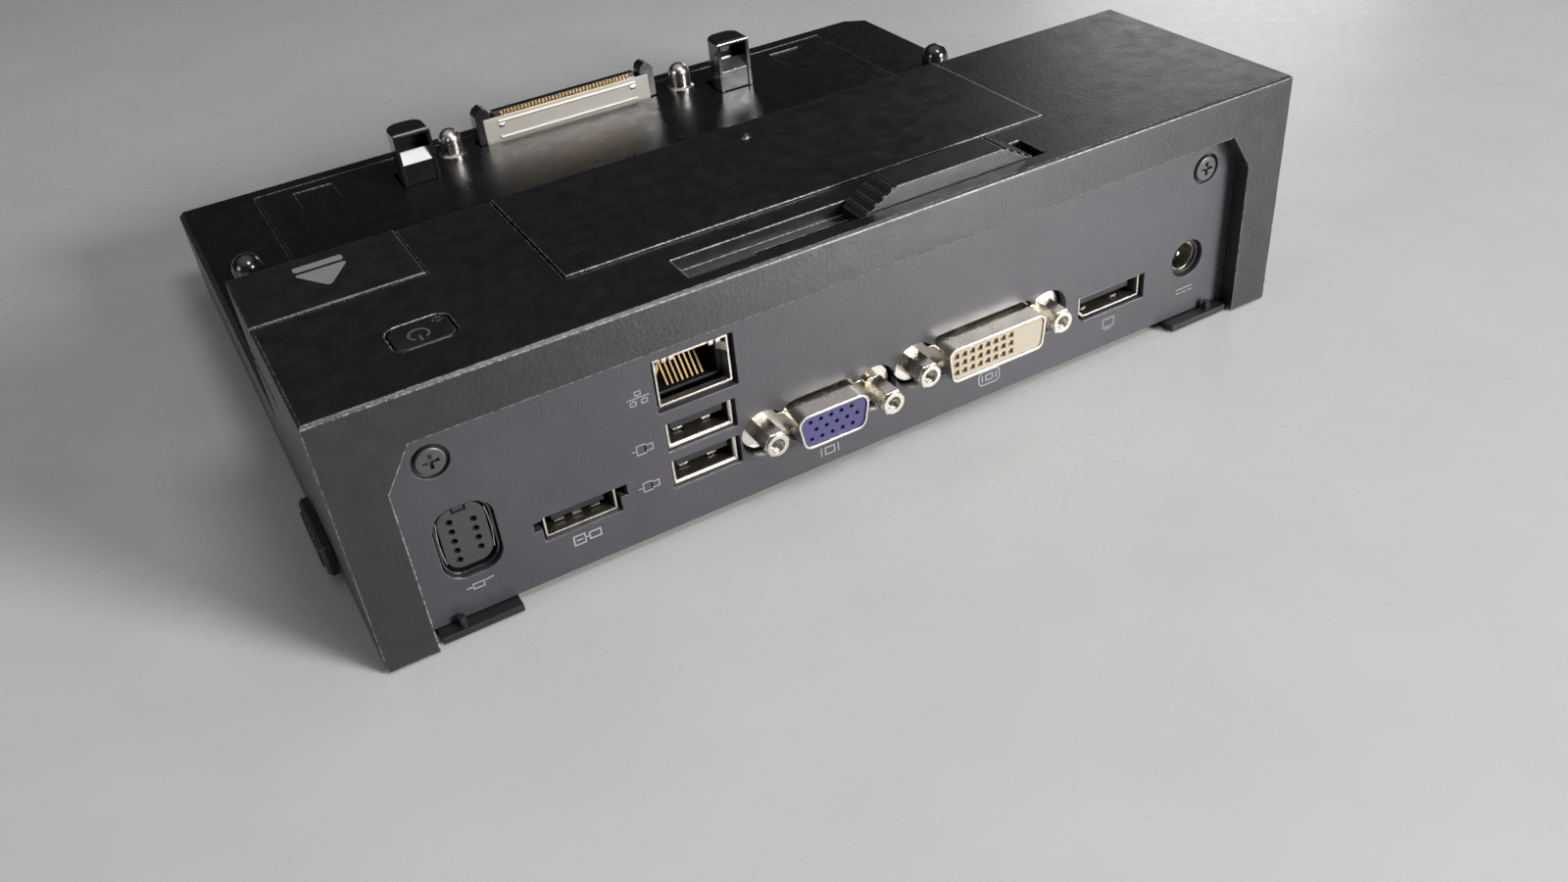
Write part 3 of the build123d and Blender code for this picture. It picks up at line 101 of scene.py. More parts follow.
def thread(centre, axis, radius, pitch, turns, depth, per_turn=40):
    """Screw thread: a V-shaped ridge carried along a helix, h = pitch * turn.

    It stands in from its radius by depth. Its height grows from nothing over the first half turn and fades
    over the last."""
    axis = unit(axis)
    e1 = unit(np.cross(axis, UP))
    e2 = np.cross(axis, e1)
    t = np.linspace(0, turns, int(turns * per_turn) + 1)
    a = 2 * math.pi * t[:, None, None]
    fade = np.clip(np.minimum(t, turns - t) * 2, 0.05, 1)[:, None, None]
    profile = np.array(((0.02 * depth, -0.45 * pitch), (-depth, 0.0), (0.02 * depth, 0.45 * pitch)))
    r = radius + profile[None, :, :1] * fade
    h = t[:, None, None] * pitch + profile[None, :, 1:] * fade
    points = np.asarray(centre, float) + h * axis + r * (np.cos(a) * e1 + np.sin(a) * e2)
    return lattice(points, caps=True)


def arc(centre, radius, start, stop, count=24):
    """Points at centre + radius * (cos a, sin a), for a from start to stop in degrees."""
    a = np.radians(np.linspace(start, stop, count))
    return np.stack([centre[0] + radius * np.cos(a), centre[1] + radius * np.sin(a)], 1)


def rounded(width, height, radius, centre=(0, 0)):
    """A rectangle's outline with quarter circles at its corners, as points in order."""
    x, y = width / 2 - radius, height / 2 - radius
    corners = ((x, y, 0), (-x, y, 90), (-x, -y, 180), (x, -y, 270))
    return np.vstack([arc((centre[0] + cx, centre[1] + cy), radius, s, s + 90, 7) for cx, cy, s in corners])


def slab_of(outline, thick, place):
    """A plate: the outline at height 0 and at height thick, joined by its sides.

    Each point is taken through place."""
    outline = np.asarray(outline, float)
    rows = [place(outline, h) for h in (0.0, thick)]
    return lattice(np.stack(rows), caps=True)


def make(name, parts, slot, body, bevel=0.0):
    """Join parts into one closed mesh with its faces outwards.

    It rides on a body and has a slot's finish."""
    verts, faces, start = [], [], 0
    for points, quads in parts:
        verts.append(points)
        faces += [[k + start for k in face] for face in quads]
        start += len(points)
    mesh = bpy.data.meshes.new(name)
    mesh.from_pydata(np.vstack(verts).tolist(), [], faces)
    work = bmesh.new()
    work.from_mesh(mesh)
    bmesh.ops.remove_doubles(work, verts=work.verts, dist=1e-7)
    bmesh.ops.recalc_face_normals(work, faces=work.faces)
    work.to_mesh(mesh)
    work.free()
    mesh.polygons.foreach_set("use_smooth", np.ones(len(mesh.polygons), bool))
    mesh.set_sharp_from_angle(angle=SMOOTH_UNDER)
    piece = bpy.data.objects.new(name, mesh)
    bpy.context.scene.collection.objects.link(piece)
    mesh.materials.append(finish_of(slot))
    if bevel:
        rim = piece.modifiers.new("rim", "BEVEL")
        rim.width, rim.segments, rim.limit_method = bevel, 2, "ANGLE"
    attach(piece, body)
    return piece


# ---------------------------------------------------------------- finishes
def finish(name, tone, rough, metal=0.0, grain=0.4, bump=0.1, mottle=0.12, edge=0.25, edge_glint=0.0, coat=0.0,
           streak=(1, 1, 1), spread=0.06, specular=0.5, hollow_shade=0.0):
    """A moulded, plated or turned surface.

    Its colour drifts by mottle, its roughness by spread, grain is the width in millimetres of the texture
    that the bump raises, edge is the radius that light sees on each corner, edge_glint paints a highlight
    in specks on those corners, and hollow_shade paints shade into the depths of a socket, a dark brown
    where ambient occlusion finds a hollow."""
    material = bpy.data.materials.new(name)
    material.use_nodes = True
    nodes, links = material.node_tree.nodes, material.node_tree.links
    shader = nodes["Principled BSDF"]
    shader.inputs["Metallic"].default_value = metal
    shader.inputs["Coat Weight"].default_value = coat
    shader.inputs["Coat Roughness"].default_value = 0.08
    shader.inputs["Specular IOR Level"].default_value = specular
    where = nodes.new("ShaderNodeTexCoord")
    lay = nodes.new("ShaderNodeMapping")
    lay.inputs["Scale"].default_value = streak
    links.new(where.outputs["Object"], lay.inputs["Vector"])

    def noise(scale, detail, roughness=0.5, vector=lay):
        made = nodes.new("ShaderNodeTexNoise")
        made.inputs["Scale"].default_value = scale
        made.inputs["Detail"].default_value = detail
        made.inputs["Roughness"].default_value = roughness
        links.new(vector.outputs[0] if vector is lay else vector.outputs["Object"], made.inputs["Vector"])
        return made

    drift = noise(32.0, 4.0, vector=where)
    fine = noise(1000.0 / grain, 2.0, 0.6)
    wide = noise(260.0, 3.0)
    blend = nodes.new("ShaderNodeMix")
    blend.data_type = "RGBA"
    low = [c * (1 - mottle) for c in tone]
    high = [min(1.0, c * (1 + mottle)) for c in tone]
    blend.inputs["A"].default_value = (*low, 1)
    blend.inputs["B"].default_value = (*high, 1)
    span = nodes.new("ShaderNodeMapRange")
    span.inputs["From Min"].default_value = 0.35
    span.inputs["From Max"].default_value = 0.65
    links.new(drift.outputs["Fac"], span.inputs["Value"])
    links.new(span.outputs["Result"], blend.inputs["Factor"])
    colour = blend.outputs["Result"]
    gloss = nodes.new("ShaderNodeMapRange")
    gloss.inputs["From Min"].default_value = 0.3
    gloss.inputs["From Max"].default_value = 0.7
    gloss.inputs["To Min"].default_value = max(0.03, rough - spread)
    gloss.inputs["To Max"].default_value = min(1.0, rough + spread)
    links.new(wide.outputs["Fac"], gloss.inputs["Value"])
    links.new(gloss.outputs["Result"], shader.inputs["Roughness"])
    corner = nodes.new("ShaderNodeBevel")
    corner.samples = 4
    corner.inputs["Radius"].default_value = edge * MM
    relief = nodes.new("ShaderNodeBump")
    relief.inputs["Strength"].default_value = bump
    relief.inputs["Distance"].default_value = grain * MM * 0.4
    links.new(fine.outputs["Fac"], relief.inputs["Height"])
    links.new(corner.outputs["Normal"], relief.inputs["Normal"])
    links.new(relief.outputs["Normal"], shader.inputs["Normal"])
    # Painted highlight: pale grey mixed into the colour in specks along every corner, as if each edge caught
    # the light.
    if edge_glint:
        shape = nodes.new("ShaderNodeNewGeometry")
        dot = nodes.new("ShaderNodeVectorMath")
        dot.operation = "DOT_PRODUCT"
        links.new(corner.outputs["Normal"], dot.inputs[0])
        links.new(shape.outputs["True Normal"], dot.inputs[1])
        glint_rim = nodes.new("ShaderNodeMapRange")
        glint_rim.inputs["From Min"].default_value = 0.995
        glint_rim.inputs["From Max"].default_value = 0.8
        links.new(dot.outputs["Value"], glint_rim.inputs["Value"])
        glint_specks = nodes.new("ShaderNodeMapRange")
        glint_specks.inputs["From Min"].default_value = 0.42
        glint_specks.inputs["From Max"].default_value = 0.62
        glint_specks.inputs["To Min"].default_value = 0.1
        links.new(fine.outputs["Fac"], glint_specks.inputs["Value"])
        patchy = nodes.new("ShaderNodeMath")
        patchy.operation = "MULTIPLY"
        links.new(glint_rim.outputs["Result"], patchy.inputs[0])
        links.new(glint_specks.outputs["Result"], patchy.inputs[1])
        amount = nodes.new("ShaderNodeMath")
        amount.operation = "MULTIPLY"
        amount.inputs[1].default_value = edge_glint
        links.new(patchy.outputs[0], amount.inputs[0])
        bright = nodes.new("ShaderNodeMix")
        bright.data_type = "RGBA"
        # Colour of the painted highlight on the corners.
        bright.inputs["B"].default_value = (0.5, 0.5, 0.51, 1)
        links.new(amount.outputs[0], bright.inputs["Factor"])
        links.new(colour, bright.inputs["A"])
        colour = bright.outputs["Result"]
    # Painted shade: ambient occlusion mixes a dark brown into the colour deep in sockets and hollows, where
    # shade falls.
    if hollow_shade:
        shade = nodes.new("ShaderNodeAmbientOcclusion")
        shade.samples = 6
        shade.inputs["Distance"].default_value = 7.0 * MM
        depth = nodes.new("ShaderNodeMapRange")
        depth.inputs["From Min"].default_value = 0.05
        depth.inputs["From Max"].default_value = 0.6
        depth.inputs["To Min"].default_value = 1 - hollow_shade
        links.new(shade.outputs["AO"], depth.inputs["Value"])
        dark = nodes.new("ShaderNodeMix")
        dark.data_type = "RGBA"
        dark.inputs["A"].default_value = (0.05, 0.035, 0.025, 1)
        links.new(depth.outputs["Result"], dark.inputs["Factor"])
        links.new(colour, dark.inputs["B"])
        colour = dark.outputs["Result"]
    links.new(colour, shader.inputs["Base Color"])
    return material


def board_finish(name, tone):
    """Lacquered board: straight copper tracks under the lacquer, from a brick pattern's joints."""
    material = finish(name, tone, 0.28, grain=0.8, bump=0.08, coat=0.4)
    nodes, links = material.node_tree.nodes, material.node_tree.links
    shader = nodes["Principled BSDF"]
    where = nodes.new("ShaderNodeTexCoord")
    tracks = nodes.new("ShaderNodeTexBrick")
    tracks.inputs["Scale"].default_value = 160.0
    tracks.inputs["Mortar Size"].default_value = 0.035
    tracks.inputs["Color1"].default_value = (*tone, 1)
    tracks.inputs["Color2"].default_value = (*[c * 0.8 for c in tone], 1)
    tracks.inputs["Mortar"].default_value = (*[c * 2.2 for c in tone], 1)
    links.new(where.outputs["Object"], tracks.inputs["Vector"])
    links.new(tracks.outputs["Color"], shader.inputs["Base Color"])
    return material


COLOURS = ("casing", "panel", "gloss", "nickel", "gold", "blue", "cream", "ink", "board")


def finish_of(slot):
    """The material made for a slot of the record, under a name that the frame doesn't use.

    Each is made once."""
    made_name = "dock_" + slot
    if made_name not in bpy.data.materials:
        looks = bpy.context.scene.dock_finish
        c = {p: tuple(getattr(looks, p)) for p in COLOURS}
        grain = looks.grain / MM
        # Casings, tray, panel, buttons and screws get a painted highlight in specks on their corners, and
        # the plated port shells get painted shade in their depths.
        finishes = {
            "casing": lambda n: finish(n, c["casing"], 0.34, grain=grain, bump=0.16, edge=0.45, edge_glint=1.3,
                                       specular=0.9),
            "tray": lambda n: finish(n, c["casing"], 0.32, grain=grain * 0.6, bump=0.12, edge=0.4, edge_glint=0.5,
                                     specular=0.6),
            "panel": lambda n: finish(n, c["panel"], 0.4, grain=grain * 0.7, bump=0.14, edge=0.25, edge_glint=0.4,
                                      specular=0.8),
            "button": lambda n: finish(n, c["casing"], 0.38, grain=grain * 0.6, bump=0.3, edge=0.3, edge_glint=0.9,
                                       specular=0.9),
            "gloss_black": lambda n: finish(n, c["gloss"], 0.2, grain=1.2, bump=0.03, coat=1.0, edge=0.3,
                                            specular=0.8),
            "inner_black": lambda n: finish(n, c["gloss"], 0.42, grain=0.3, bump=0.15),
            "rubber": lambda n: finish(n, c["casing"], 0.78, grain=0.35, bump=0.4, edge=0.3),
            "screw": lambda n: finish(n, (0.11, 0.108, 0.105), 0.4, 0.7, 0.25, 0.15, edge=0.2, edge_glint=0.4),
            "steel": lambda n: finish(n, (0.5, 0.5, 0.5), 0.34, 1.0, 0.4, 0.1, streak=(0.05, 1, 1)),
            "nickel": lambda n: finish(n, c["nickel"], 0.24, 1.0, 0.5, 0.05, edge=0.2, spread=0.08),
            "sheet_nickel": lambda n: finish(n, c["nickel"], 0.3, 0.95, 0.5, 0.06, edge=0.15, spread=0.08,
                                             hollow_shade=0.9),
            "satin_nickel": lambda n: finish(n, [v * 0.75 for v in c["nickel"]], 0.46, 0.85, 0.35, 0.12,
                                             edge=0.3, spread=0.05, streak=(0.1, 1, 1)),
            "gold": lambda n: finish(n, [v * 0.7 for v in c["gold"]], 0.34, 0.9, 0.3, 0.06, edge=0.05),
            "blue_insert": lambda n: finish(n, c["blue"], 0.36, grain=0.2, bump=0.06, edge=0.1),
            "cream_insert": lambda n: finish(n, c["cream"], 0.4, grain=0.2, bump=0.06, mottle=0.05,
                                             edge=0.1),
            "grey_insert": lambda n: finish(n, (0.04, 0.04, 0.042), 0.4, grain=0.2, bump=0.1, edge=0.2),
            "board": lambda n: board_finish(n, c["board"]),
            "chip": lambda n: finish(n, (0.02, 0.02, 0.022), 0.5, grain=0.15, bump=0.2),
            "can": lambda n: finish(n, (0.6, 0.6, 0.62), 0.3, 1.0, 0.4, 0.06),
            "lamp": lambda n: finish(n, (0.02, 0.02, 0.02), 0.45, grain=0.4, bump=0.04, specular=0.4),
            "cable": lambda n: finish(n, (0.45, 0.3, 0.1), 0.3, grain=0.6, bump=0.08, streak=(1, 0.05, 1)),
            "ink": lambda n: finish(n, c["ink"], 0.5, grain=0.12, bump=0.1, mottle=0.2, edge=0.02),
            "ink_pale": lambda n: finish(n, [v * 1.1 for v in c["ink"]], 0.4, 0.1, grain=0.12, bump=0.1,
                                         mottle=0.15, edge=0.02),
            "ink_dim": lambda n: finish(n, [v * 0.35 for v in c["ink"]], 0.5, grain=0.12, bump=0.1,
                                        mottle=0.2, edge=0.02),
        }
        finishes[slot](made_name)
    return bpy.data.materials[made_name]


# ---------------------------------------------------------------- places
def low(node):
    """Lowest corner of a CAD node, as an array."""
    return np.array(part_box(node)[0])


def high(node):
    """Highest corner of a CAD node, as an array."""
    return np.array(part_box(node)[1])


def middle(node):
    """Centre of a CAD node's box."""
    return (low(node) + high(node)) / 2


def on_rear(x, z, y):
    """Places a drawing on an upright wall seen from behind: u runs to -X, v up and h out to the rear."""
    def place(points, h):
        points = np.asarray(points, float) * MM
        return np.stack([x - points[:, 0], np.full(len(points), y + h * MM), z + points[:, 1]], 1)
    return place


def on_top(x, y, z):
    """Places a drawing on a level surface seen from above by the user: u runs to +X, v to the rear, h up."""
    def place(points, h):
        points = np.asarray(points, float) * MM
        return np.stack([x + points[:, 0], y + points[:, 1], np.full(len(points), z + h * MM)], 1)
    return place


def inked(lines, place, line, ink):
    """Printed lines: each is (points, closed) in millimetres, laid as a flat strap."""
    out = place(np.zeros((1, 2)), 1.0)[0] - place(np.zeros((1, 2)), 0.0)[0]
    return [strap(place(points, ink / 2), out, ink * MM, line * MM, closed) for points, closed in lines]


def box_line(cx, cy, w, h):
    """Outline of a rectangle as a closed line."""
    return np.array(((cx - w / 2, cy - h / 2), (cx + w / 2, cy - h / 2), (cx + w / 2, cy + h / 2),
                     (cx - w / 2, cy + h / 2))), True


def screen_lines(w, h):
    """A monitor: its frame between two short bars."""
    return [box_line(0, 0, w, h), (((-w / 2 - 0.9, -h / 2 - 0.2), (-w / 2 - 0.9, h / 2 + 0.2)), False),
            (((w / 2 + 0.9, -h / 2 - 0.2), (w / 2 + 0.9, h / 2 + 0.2)), False)]


def bent(x, y, z, profile):
    """A path across which x stays the same: its points are (x, y + first column, z + second column)."""
    return np.stack([np.full(len(profile), x), y + profile[:, 0], z + profile[:, 1]], 1)


# ---------------------------------------------------------------- settings
class DockFinishSettings(bpy.types.PropertyGroup):
    """Colours and texture of the docking station."""
    casing: bpy.props.FloatVectorProperty(name="Casing", description="Colour of the textured casings",
                                          size=3, subtype="COLOR", min=0, max=1,
                                          default=(0.0065, 0.0064, 0.007))
    panel: bpy.props.FloatVectorProperty(name="Panel", description="Colour of the socket panel", size=3,
                                         subtype="COLOR", min=0, max=1, default=(0.037, 0.0345, 0.041))
    gloss: bpy.props.FloatVectorProperty(name="Gloss", description="Colour of hooks, posts and inner walls",
                                         size=3, subtype="COLOR", min=0, max=1, default=(0.01, 0.01, 0.011))
    nickel: bpy.props.FloatVectorProperty(name="Nickel", description="Colour of the plated socket shells",
                                          size=3, subtype="COLOR", min=0, max=1, default=(0.74, 0.7, 0.63))
    gold: bpy.props.FloatVectorProperty(name="Gold", description="Colour of the contacts", size=3,
                                        subtype="COLOR", min=0, max=1, default=(0.86, 0.58, 0.26))
    blue: bpy.props.FloatVectorProperty(name="Blue insert",
                                        description="Colour of the video socket's insert",
                                        size=3, subtype="COLOR", min=0, max=1, default=(0.05, 0.045, 0.13))
    cream: bpy.props.FloatVectorProperty(name="Cream insert",
                                         description="Colour of the wide socket's insert",
                                         size=3, subtype="COLOR", min=0, max=1, default=(0.38, 0.33, 0.26))
    ink: bpy.props.FloatVectorProperty(name="Ink", description="Colour of the printed symbols", size=3,
                                       subtype="COLOR", min=0, max=1, default=(0.25, 0.25, 0.26))
    board: bpy.props.FloatVectorProperty(name="Board", description="Colour of the boards' lacquer", size=3,
                                         subtype="COLOR", min=0, max=1, default=(0.02, 0.11, 0.05))
    grain: bpy.props.FloatProperty(name="Grain", description="Width of the casings' moulded grain",
                                   default=0.75 * MM, unit="LENGTH", precision=5)


class DockPartSettings(bpy.types.PropertyGroup):
    """Sizes of the small parts."""
    line: bpy.props.FloatProperty(name="Line", description="Width of a printed line", default=0.3 * MM,
                                  unit="LENGTH", precision=5)
    ink: bpy.props.FloatProperty(name="Ink", description="Thickness of the print", default=0.04 * MM,
                                 unit="LENGTH", precision=5)
    leaf: bpy.props.FloatProperty(name="Leaf", description="Thickness of the leaf springs",
                                  default=0.22 * MM, unit="LENGTH", precision=5)
    pitch: bpy.props.FloatProperty(name="Pitch", description="Thread pitch of the jack nuts",
                                   default=0.635 * MM, unit="LENGTH", precision=5)
    depth: bpy.props.FloatProperty(name="Thread depth", description="Height of the jack nuts' thread",
                                   default=0.22 * MM, unit="LENGTH", precision=5)


CAMERA_TURN = tuple(math.radians(a) for a in (53.726, 5.001, 150.086))


class DockStageSettings(bpy.types.PropertyGroup):
    """Floor, lamps and camera."""
    floor: bpy.props.FloatVectorProperty(name="Floor", description="Colour of the table top", size=3,
                                         subtype="COLOR", min=0, max=1, default=(0.56, 0.56, 0.55))
    key: bpy.props.FloatProperty(name="Key lamp", description="Power of the soft lamp behind the camera",
                                 default=31.0, unit="POWER")
    back: bpy.props.FloatProperty(name="Back lamp", description="Power of the soft lamp beyond the object",
                                  default=1.6, unit="POWER")
    top: bpy.props.FloatProperty(name="Top lamp", description="Power of the small soft lamp overhead",
                                 default=3.5, unit="POWER")
    side: bpy.props.FloatProperty(name="Side lamp", description="Power of the fill lamp at the user's right",
                                  default=2.2, unit="POWER")
    sky: bpy.props.FloatProperty(name="Sky", description="Strength of the even light from overhead",
                                 default=0.5)
    place: bpy.props.FloatVectorProperty(name="Camera place", description="Where the camera stands", size=3,
                                         subtype="XYZ", default=(0.1129, 0.2688, 0.1648))
    turn: bpy.props.FloatVectorProperty(name="Camera turn", description="Which way the camera looks", size=3,
                                        subtype="EULER", default=CAMERA_TURN)
    lens: bpy.props.FloatProperty(name="Lens", description="Focal length in millimetres on a 36 mm frame",
                                  default=30.93)


# ---------------------------------------------------------------- pieces
# Nodes with a finish of their own; every other node has the finish of its slot.
OWN_FINISH = {"usb_shells": "sheet_nickel", "combo_shield": "sheet_nickel", "display_shell": "sheet_nickel",
              "port_stack_shield": "sheet_nickel", "dock_shield": "satin_nickel", "tray_cover": "tray"}


class DOCK_OT_finish_nodes(bpy.types.Operator):
    """Give every CAD node the finish of its slot"""
    bl_idname = "dock.finish_nodes"
    bl_label = "Finish the casings and sockets"

    def execute(self, context):
        for row in frame["record"]["subparts"]:
            node = frame["nodes"][row["node"]]
            material = finish_of(OWN_FINISH.get(row["node"], row["material_slot"]))
            if not node.material_slots:
                node.data.materials.append(material)
            for holder in node.material_slots:
                holder.material = material
        return {"FINISHED"}


class DOCK_OT_bus_springs(bpy.types.Operator):
    """Leaf springs that rise from the lower and upper wall of each serial bus socket"""
    bl_idname = "dock.bus_springs"
    bl_label = "Serial bus springs"

    def execute(self, context):
        leaf = context.scene.dock_parts.leaf
        lo, hi = low("usb_shells"), high("usb_shells")
        height, wall, apart = 5.9 * MM, 0.4 * MM, 3.0 * MM
        upper_shift, upper_share = 1.2 * MM, 0.4
        x = (lo[0] + hi[0]) / 2
        rise = np.array(((-9.4, 0.12), (-8.4, 0.2), (-6.4, 0.75), (-5.2, 1.1), (-4.7, 1.12), (-4.2, 0.92),
                         (-3.8, 0.5))) * MM
        parts = []
        for base in (lo[2] + wall, hi[2] - height + wall):
            for side in (-1, 1):
                parts.append(strap(bent(x + side * apart, hi[1], base, rise), ACROSS, 2.0 * MM, leaf))
                path = np.stack([np.full(len(rise), x + side * apart), hi[1] + rise[:, 0] + upper_shift,
                                 base + height - 2 * wall - rise[:, 1] * upper_share], 1)
                parts.append(strap(path, ACROSS, 1.8 * MM, leaf))
        make("bus_springs", parts, "nickel", "housing")
        return {"FINISHED"}


class DOCK_OT_network_parts(bpy.types.Operator):
    """Spring fingers on the upper lip of the network socket's shield"""
    bl_idname = "dock.network_parts"
    bl_label = "Network socket fingers"

    def execute(self, context):
        leaf = context.scene.dock_parts.leaf
        body, corner = middle("port_stack_body"), high("port_stack_shield")
        bow = np.array(((-1.6, -0.15), (-0.9, 0.12), (-0.2, 0.18), (0.2, 0.0), (0.3, -0.35),
                        (0.2, -0.75))) * MM
        parts = [strap(bent(body[0] + shift * MM, corner[1], corner[2], bow), ACROSS, 0.9 * MM, leaf)
                 for shift in (-5.4, -4.0, 4.0, 5.4)]
        make("network_fingers", parts, "sheet_nickel", "housing")
        return {"FINISHED"}


class DOCK_OT_combined_springs(bpy.types.Operator):
    """Three leaf springs in the lower wall of the combined port"""
    bl_idname = "dock.combined_springs"
    bl_label = "Combined port springs"

    def execute(self, context):
        leaf = context.scene.dock_parts.leaf
        lo, hi = low("combo_shield"), high("combo_shield")
        height, wall = 5.1 * MM, 0.4 * MM
        x, floor = (lo[0] + hi[0]) / 2, hi[2] - height + wall
        rise = np.array(((-7.2, 0.1), (-5.6, 0.45), (-4.0, 1.05), (-3.4, 1.15), (-2.8, 0.9),
                         (-2.3, 0.45))) * MM
        parts = [strap(bent(x + shift * MM, hi[1], floor, rise), ACROSS, 1.9 * MM, leaf)
                 for shift in (-3.6, 0.0, 3.6)]
        make("combined_springs", parts, "nickel", "housing")
        return {"FINISHED"}


class DOCK_OT_digital_video_springs(bpy.types.Operator):
    """Two leaf springs in the lower wall of the keyed video socket"""
    bl_idname = "dock.digital_video_springs"
    bl_label = "Keyed video socket springs"

    def execute(self, context):
        leaf = context.scene.dock_parts.leaf
        lo, hi = low("display_shell"), high("display_shell")
        height, wall = 5.2 * MM, 0.4 * MM
        x, floor = (lo[0] + hi[0]) / 2, hi[2] - height + wall
        rise = np.array(((-8.0, 0.1), (-6.0, 0.5), (-4.4, 0.95), (-3.8, 1.0), (-3.2, 0.7))) * MM
        parts = [strap(bent(x + shift * MM, hi[1], floor, rise), ACROSS, 1.6 * MM, leaf)
                 for shift in (-4.2, 4.2)]
        make("digital_video_springs", parts, "nickel", "housing")
        return {"FINISHED"}


class DOCK_OT_jack_threads(bpy.types.Operator):
    """Threads inside the four jack nuts"""
    bl_idname = "dock.jack_threads"
    bl_label = "Jack nut threads"

    def execute(self, context):
        sizes = context.scene.dock_parts
        flat, bore_r, bore_deep = 2.4 * MM, 1.45 * MM, 4.6 * MM
        turns = 4.3 * MM / sizes.pitch
        for node, name, loose in (("vga_jack_nuts", "video_nut_threads", 1.6 * MM),
                                  ("dvi_jack_nuts", "wide_video_nut_threads", 0.0)):
            lo, hi = low(node), high(node)
            half = flat * 2 / math.sqrt(3)
            z = (lo[2] + hi[2]) / 2
            parts = []
            for x, tip in ((lo[0] + half, hi[1]), (hi[0] - half, hi[1] - loose)):
                start = (x, tip - bore_deep, z)
                parts.append(thread(start, REARWARD, bore_r, sizes.pitch, turns, sizes.depth))
            make(name, parts, "nickel", "housing")
        return {"FINISHED"}


class DOCK_OT_flange_tabs(bpy.types.Operator):
    """Bent tabs of the two video shells, seen in the lobes beside each socket"""
    bl_idname = "dock.flange_tabs"
    bl_label = "Video shell tabs"

    def execute(self, context):
        for node, name in (("vga_shell", "video_tabs"), ("dvi_shell", "wide_video_tabs")):
            lo, hi = low(node), high(node)
            z = (lo[2] + hi[2]) / 2
            parts = []
            for side, edge in ((-1, lo[0]), (1, hi[0])):
                x = edge - side * 7.9 * MM
                y = lo[1] + 0.9 * MM
                for tilt in (-1, 1):
                    path = np.array(((x, y, z + tilt * 3.3 * MM), (x, y + 0.8 * MM, z + tilt * 3.25 * MM),
                                     (x - side * 0.3 * MM, y + 1.9 * MM, z + tilt * 2.9 * MM)))
                    parts.append(strap(path, ACROSS, 1.7 * MM, 0.35 * MM))
            make(name, parts, "nickel", "housing", bevel=0.08 * MM)
        return {"FINISHED"}


class DOCK_OT_shield_latches(bpy.types.Operator):
    """Bright spring latches that fill the two windows of the docking connector's shield"""
    bl_idname = "dock.shield_latches"
    bl_label = "Docking shield latches"

    def execute(self, context):
        lo, hi = low("dock_shield"), high("dock_shield")
        z, face, inset = hi[2] - 2.5 * MM, hi[1] - 0.35 * MM, 4.9 * MM
        bow = np.array(((-0.5, -0.62), (0.0, -0.55), (0.16, -0.2), (0.16, 0.2), (0.0, 0.55),
                        (-0.5, 0.62))) * MM
        parts = [strap(bent(x, face, z, bow), ACROSS, 1.5 * MM, 0.16 * MM)
                 for x in (lo[0] + inset, hi[0] - inset)]
        make("shield_latches", parts, "nickel", "housing")
        return {"FINISHED"}


class DOCK_OT_wide_contacts(bpy.types.Operator):
    """Folded contact leaves inside the square holes of the wide video socket"""
    bl_idname = "dock.wide_contacts"
    bl_label = "Wide video contacts"

    def execute(self, context):
        insert, face = middle("dvi_insert"), high("dvi_insert")[1]
        z = high("dvi_shell")[2] - 4.3 * MM
        step = 1.905
        fold = np.array(((-2.2, 0.42), (-0.9, 0.42), (-0.7, 0.3), (-0.7, -0.3), (-0.9, -0.42),
                         (-2.2, -0.42))) * MM
        parts = []
        for row in (-1, 0, 1):
            for n in range(8):
                x = insert[0] + (10.1 - n * step) * MM
                parts.append(strap(bent(x, face, z + row * step * MM, fold), ACROSS, 0.95 * MM, 0.16 * MM))
        make("wide_video_contacts", parts, "gold", "housing")
        return {"FINISHED"}


class DOCK_OT_stand_springs(bpy.types.Operator):
    """Two silver spring slivers beside the insert of the upright nine-way socket"""
    bl_idname = "dock.stand_springs"
    bl_label = "Nine-way socket springs"

    def execute(self, context):
        lo, hi = low("stand_insert"), high("stand_insert")
        z = (lo[2] + hi[2]) / 2
        bow = np.array(((0.12, -4.6), (0.4, -2.2), (0.5, 0.0), (0.4, 2.2), (0.12, 4.6))) * MM
        parts = []
        for side, edge in ((-1, lo[0]), (1, hi[0])):
            path = np.stack([edge + side * bow[:, 0], np.full(len(bow), hi[1] - 1.2 * MM), z + bow[:, 1]], 1)
            parts.append(strap(path, REARWARD, 2.4 * MM, 0.2 * MM))
        make("stand_springs", parts, "nickel", "housing")
        return {"FINISHED"}


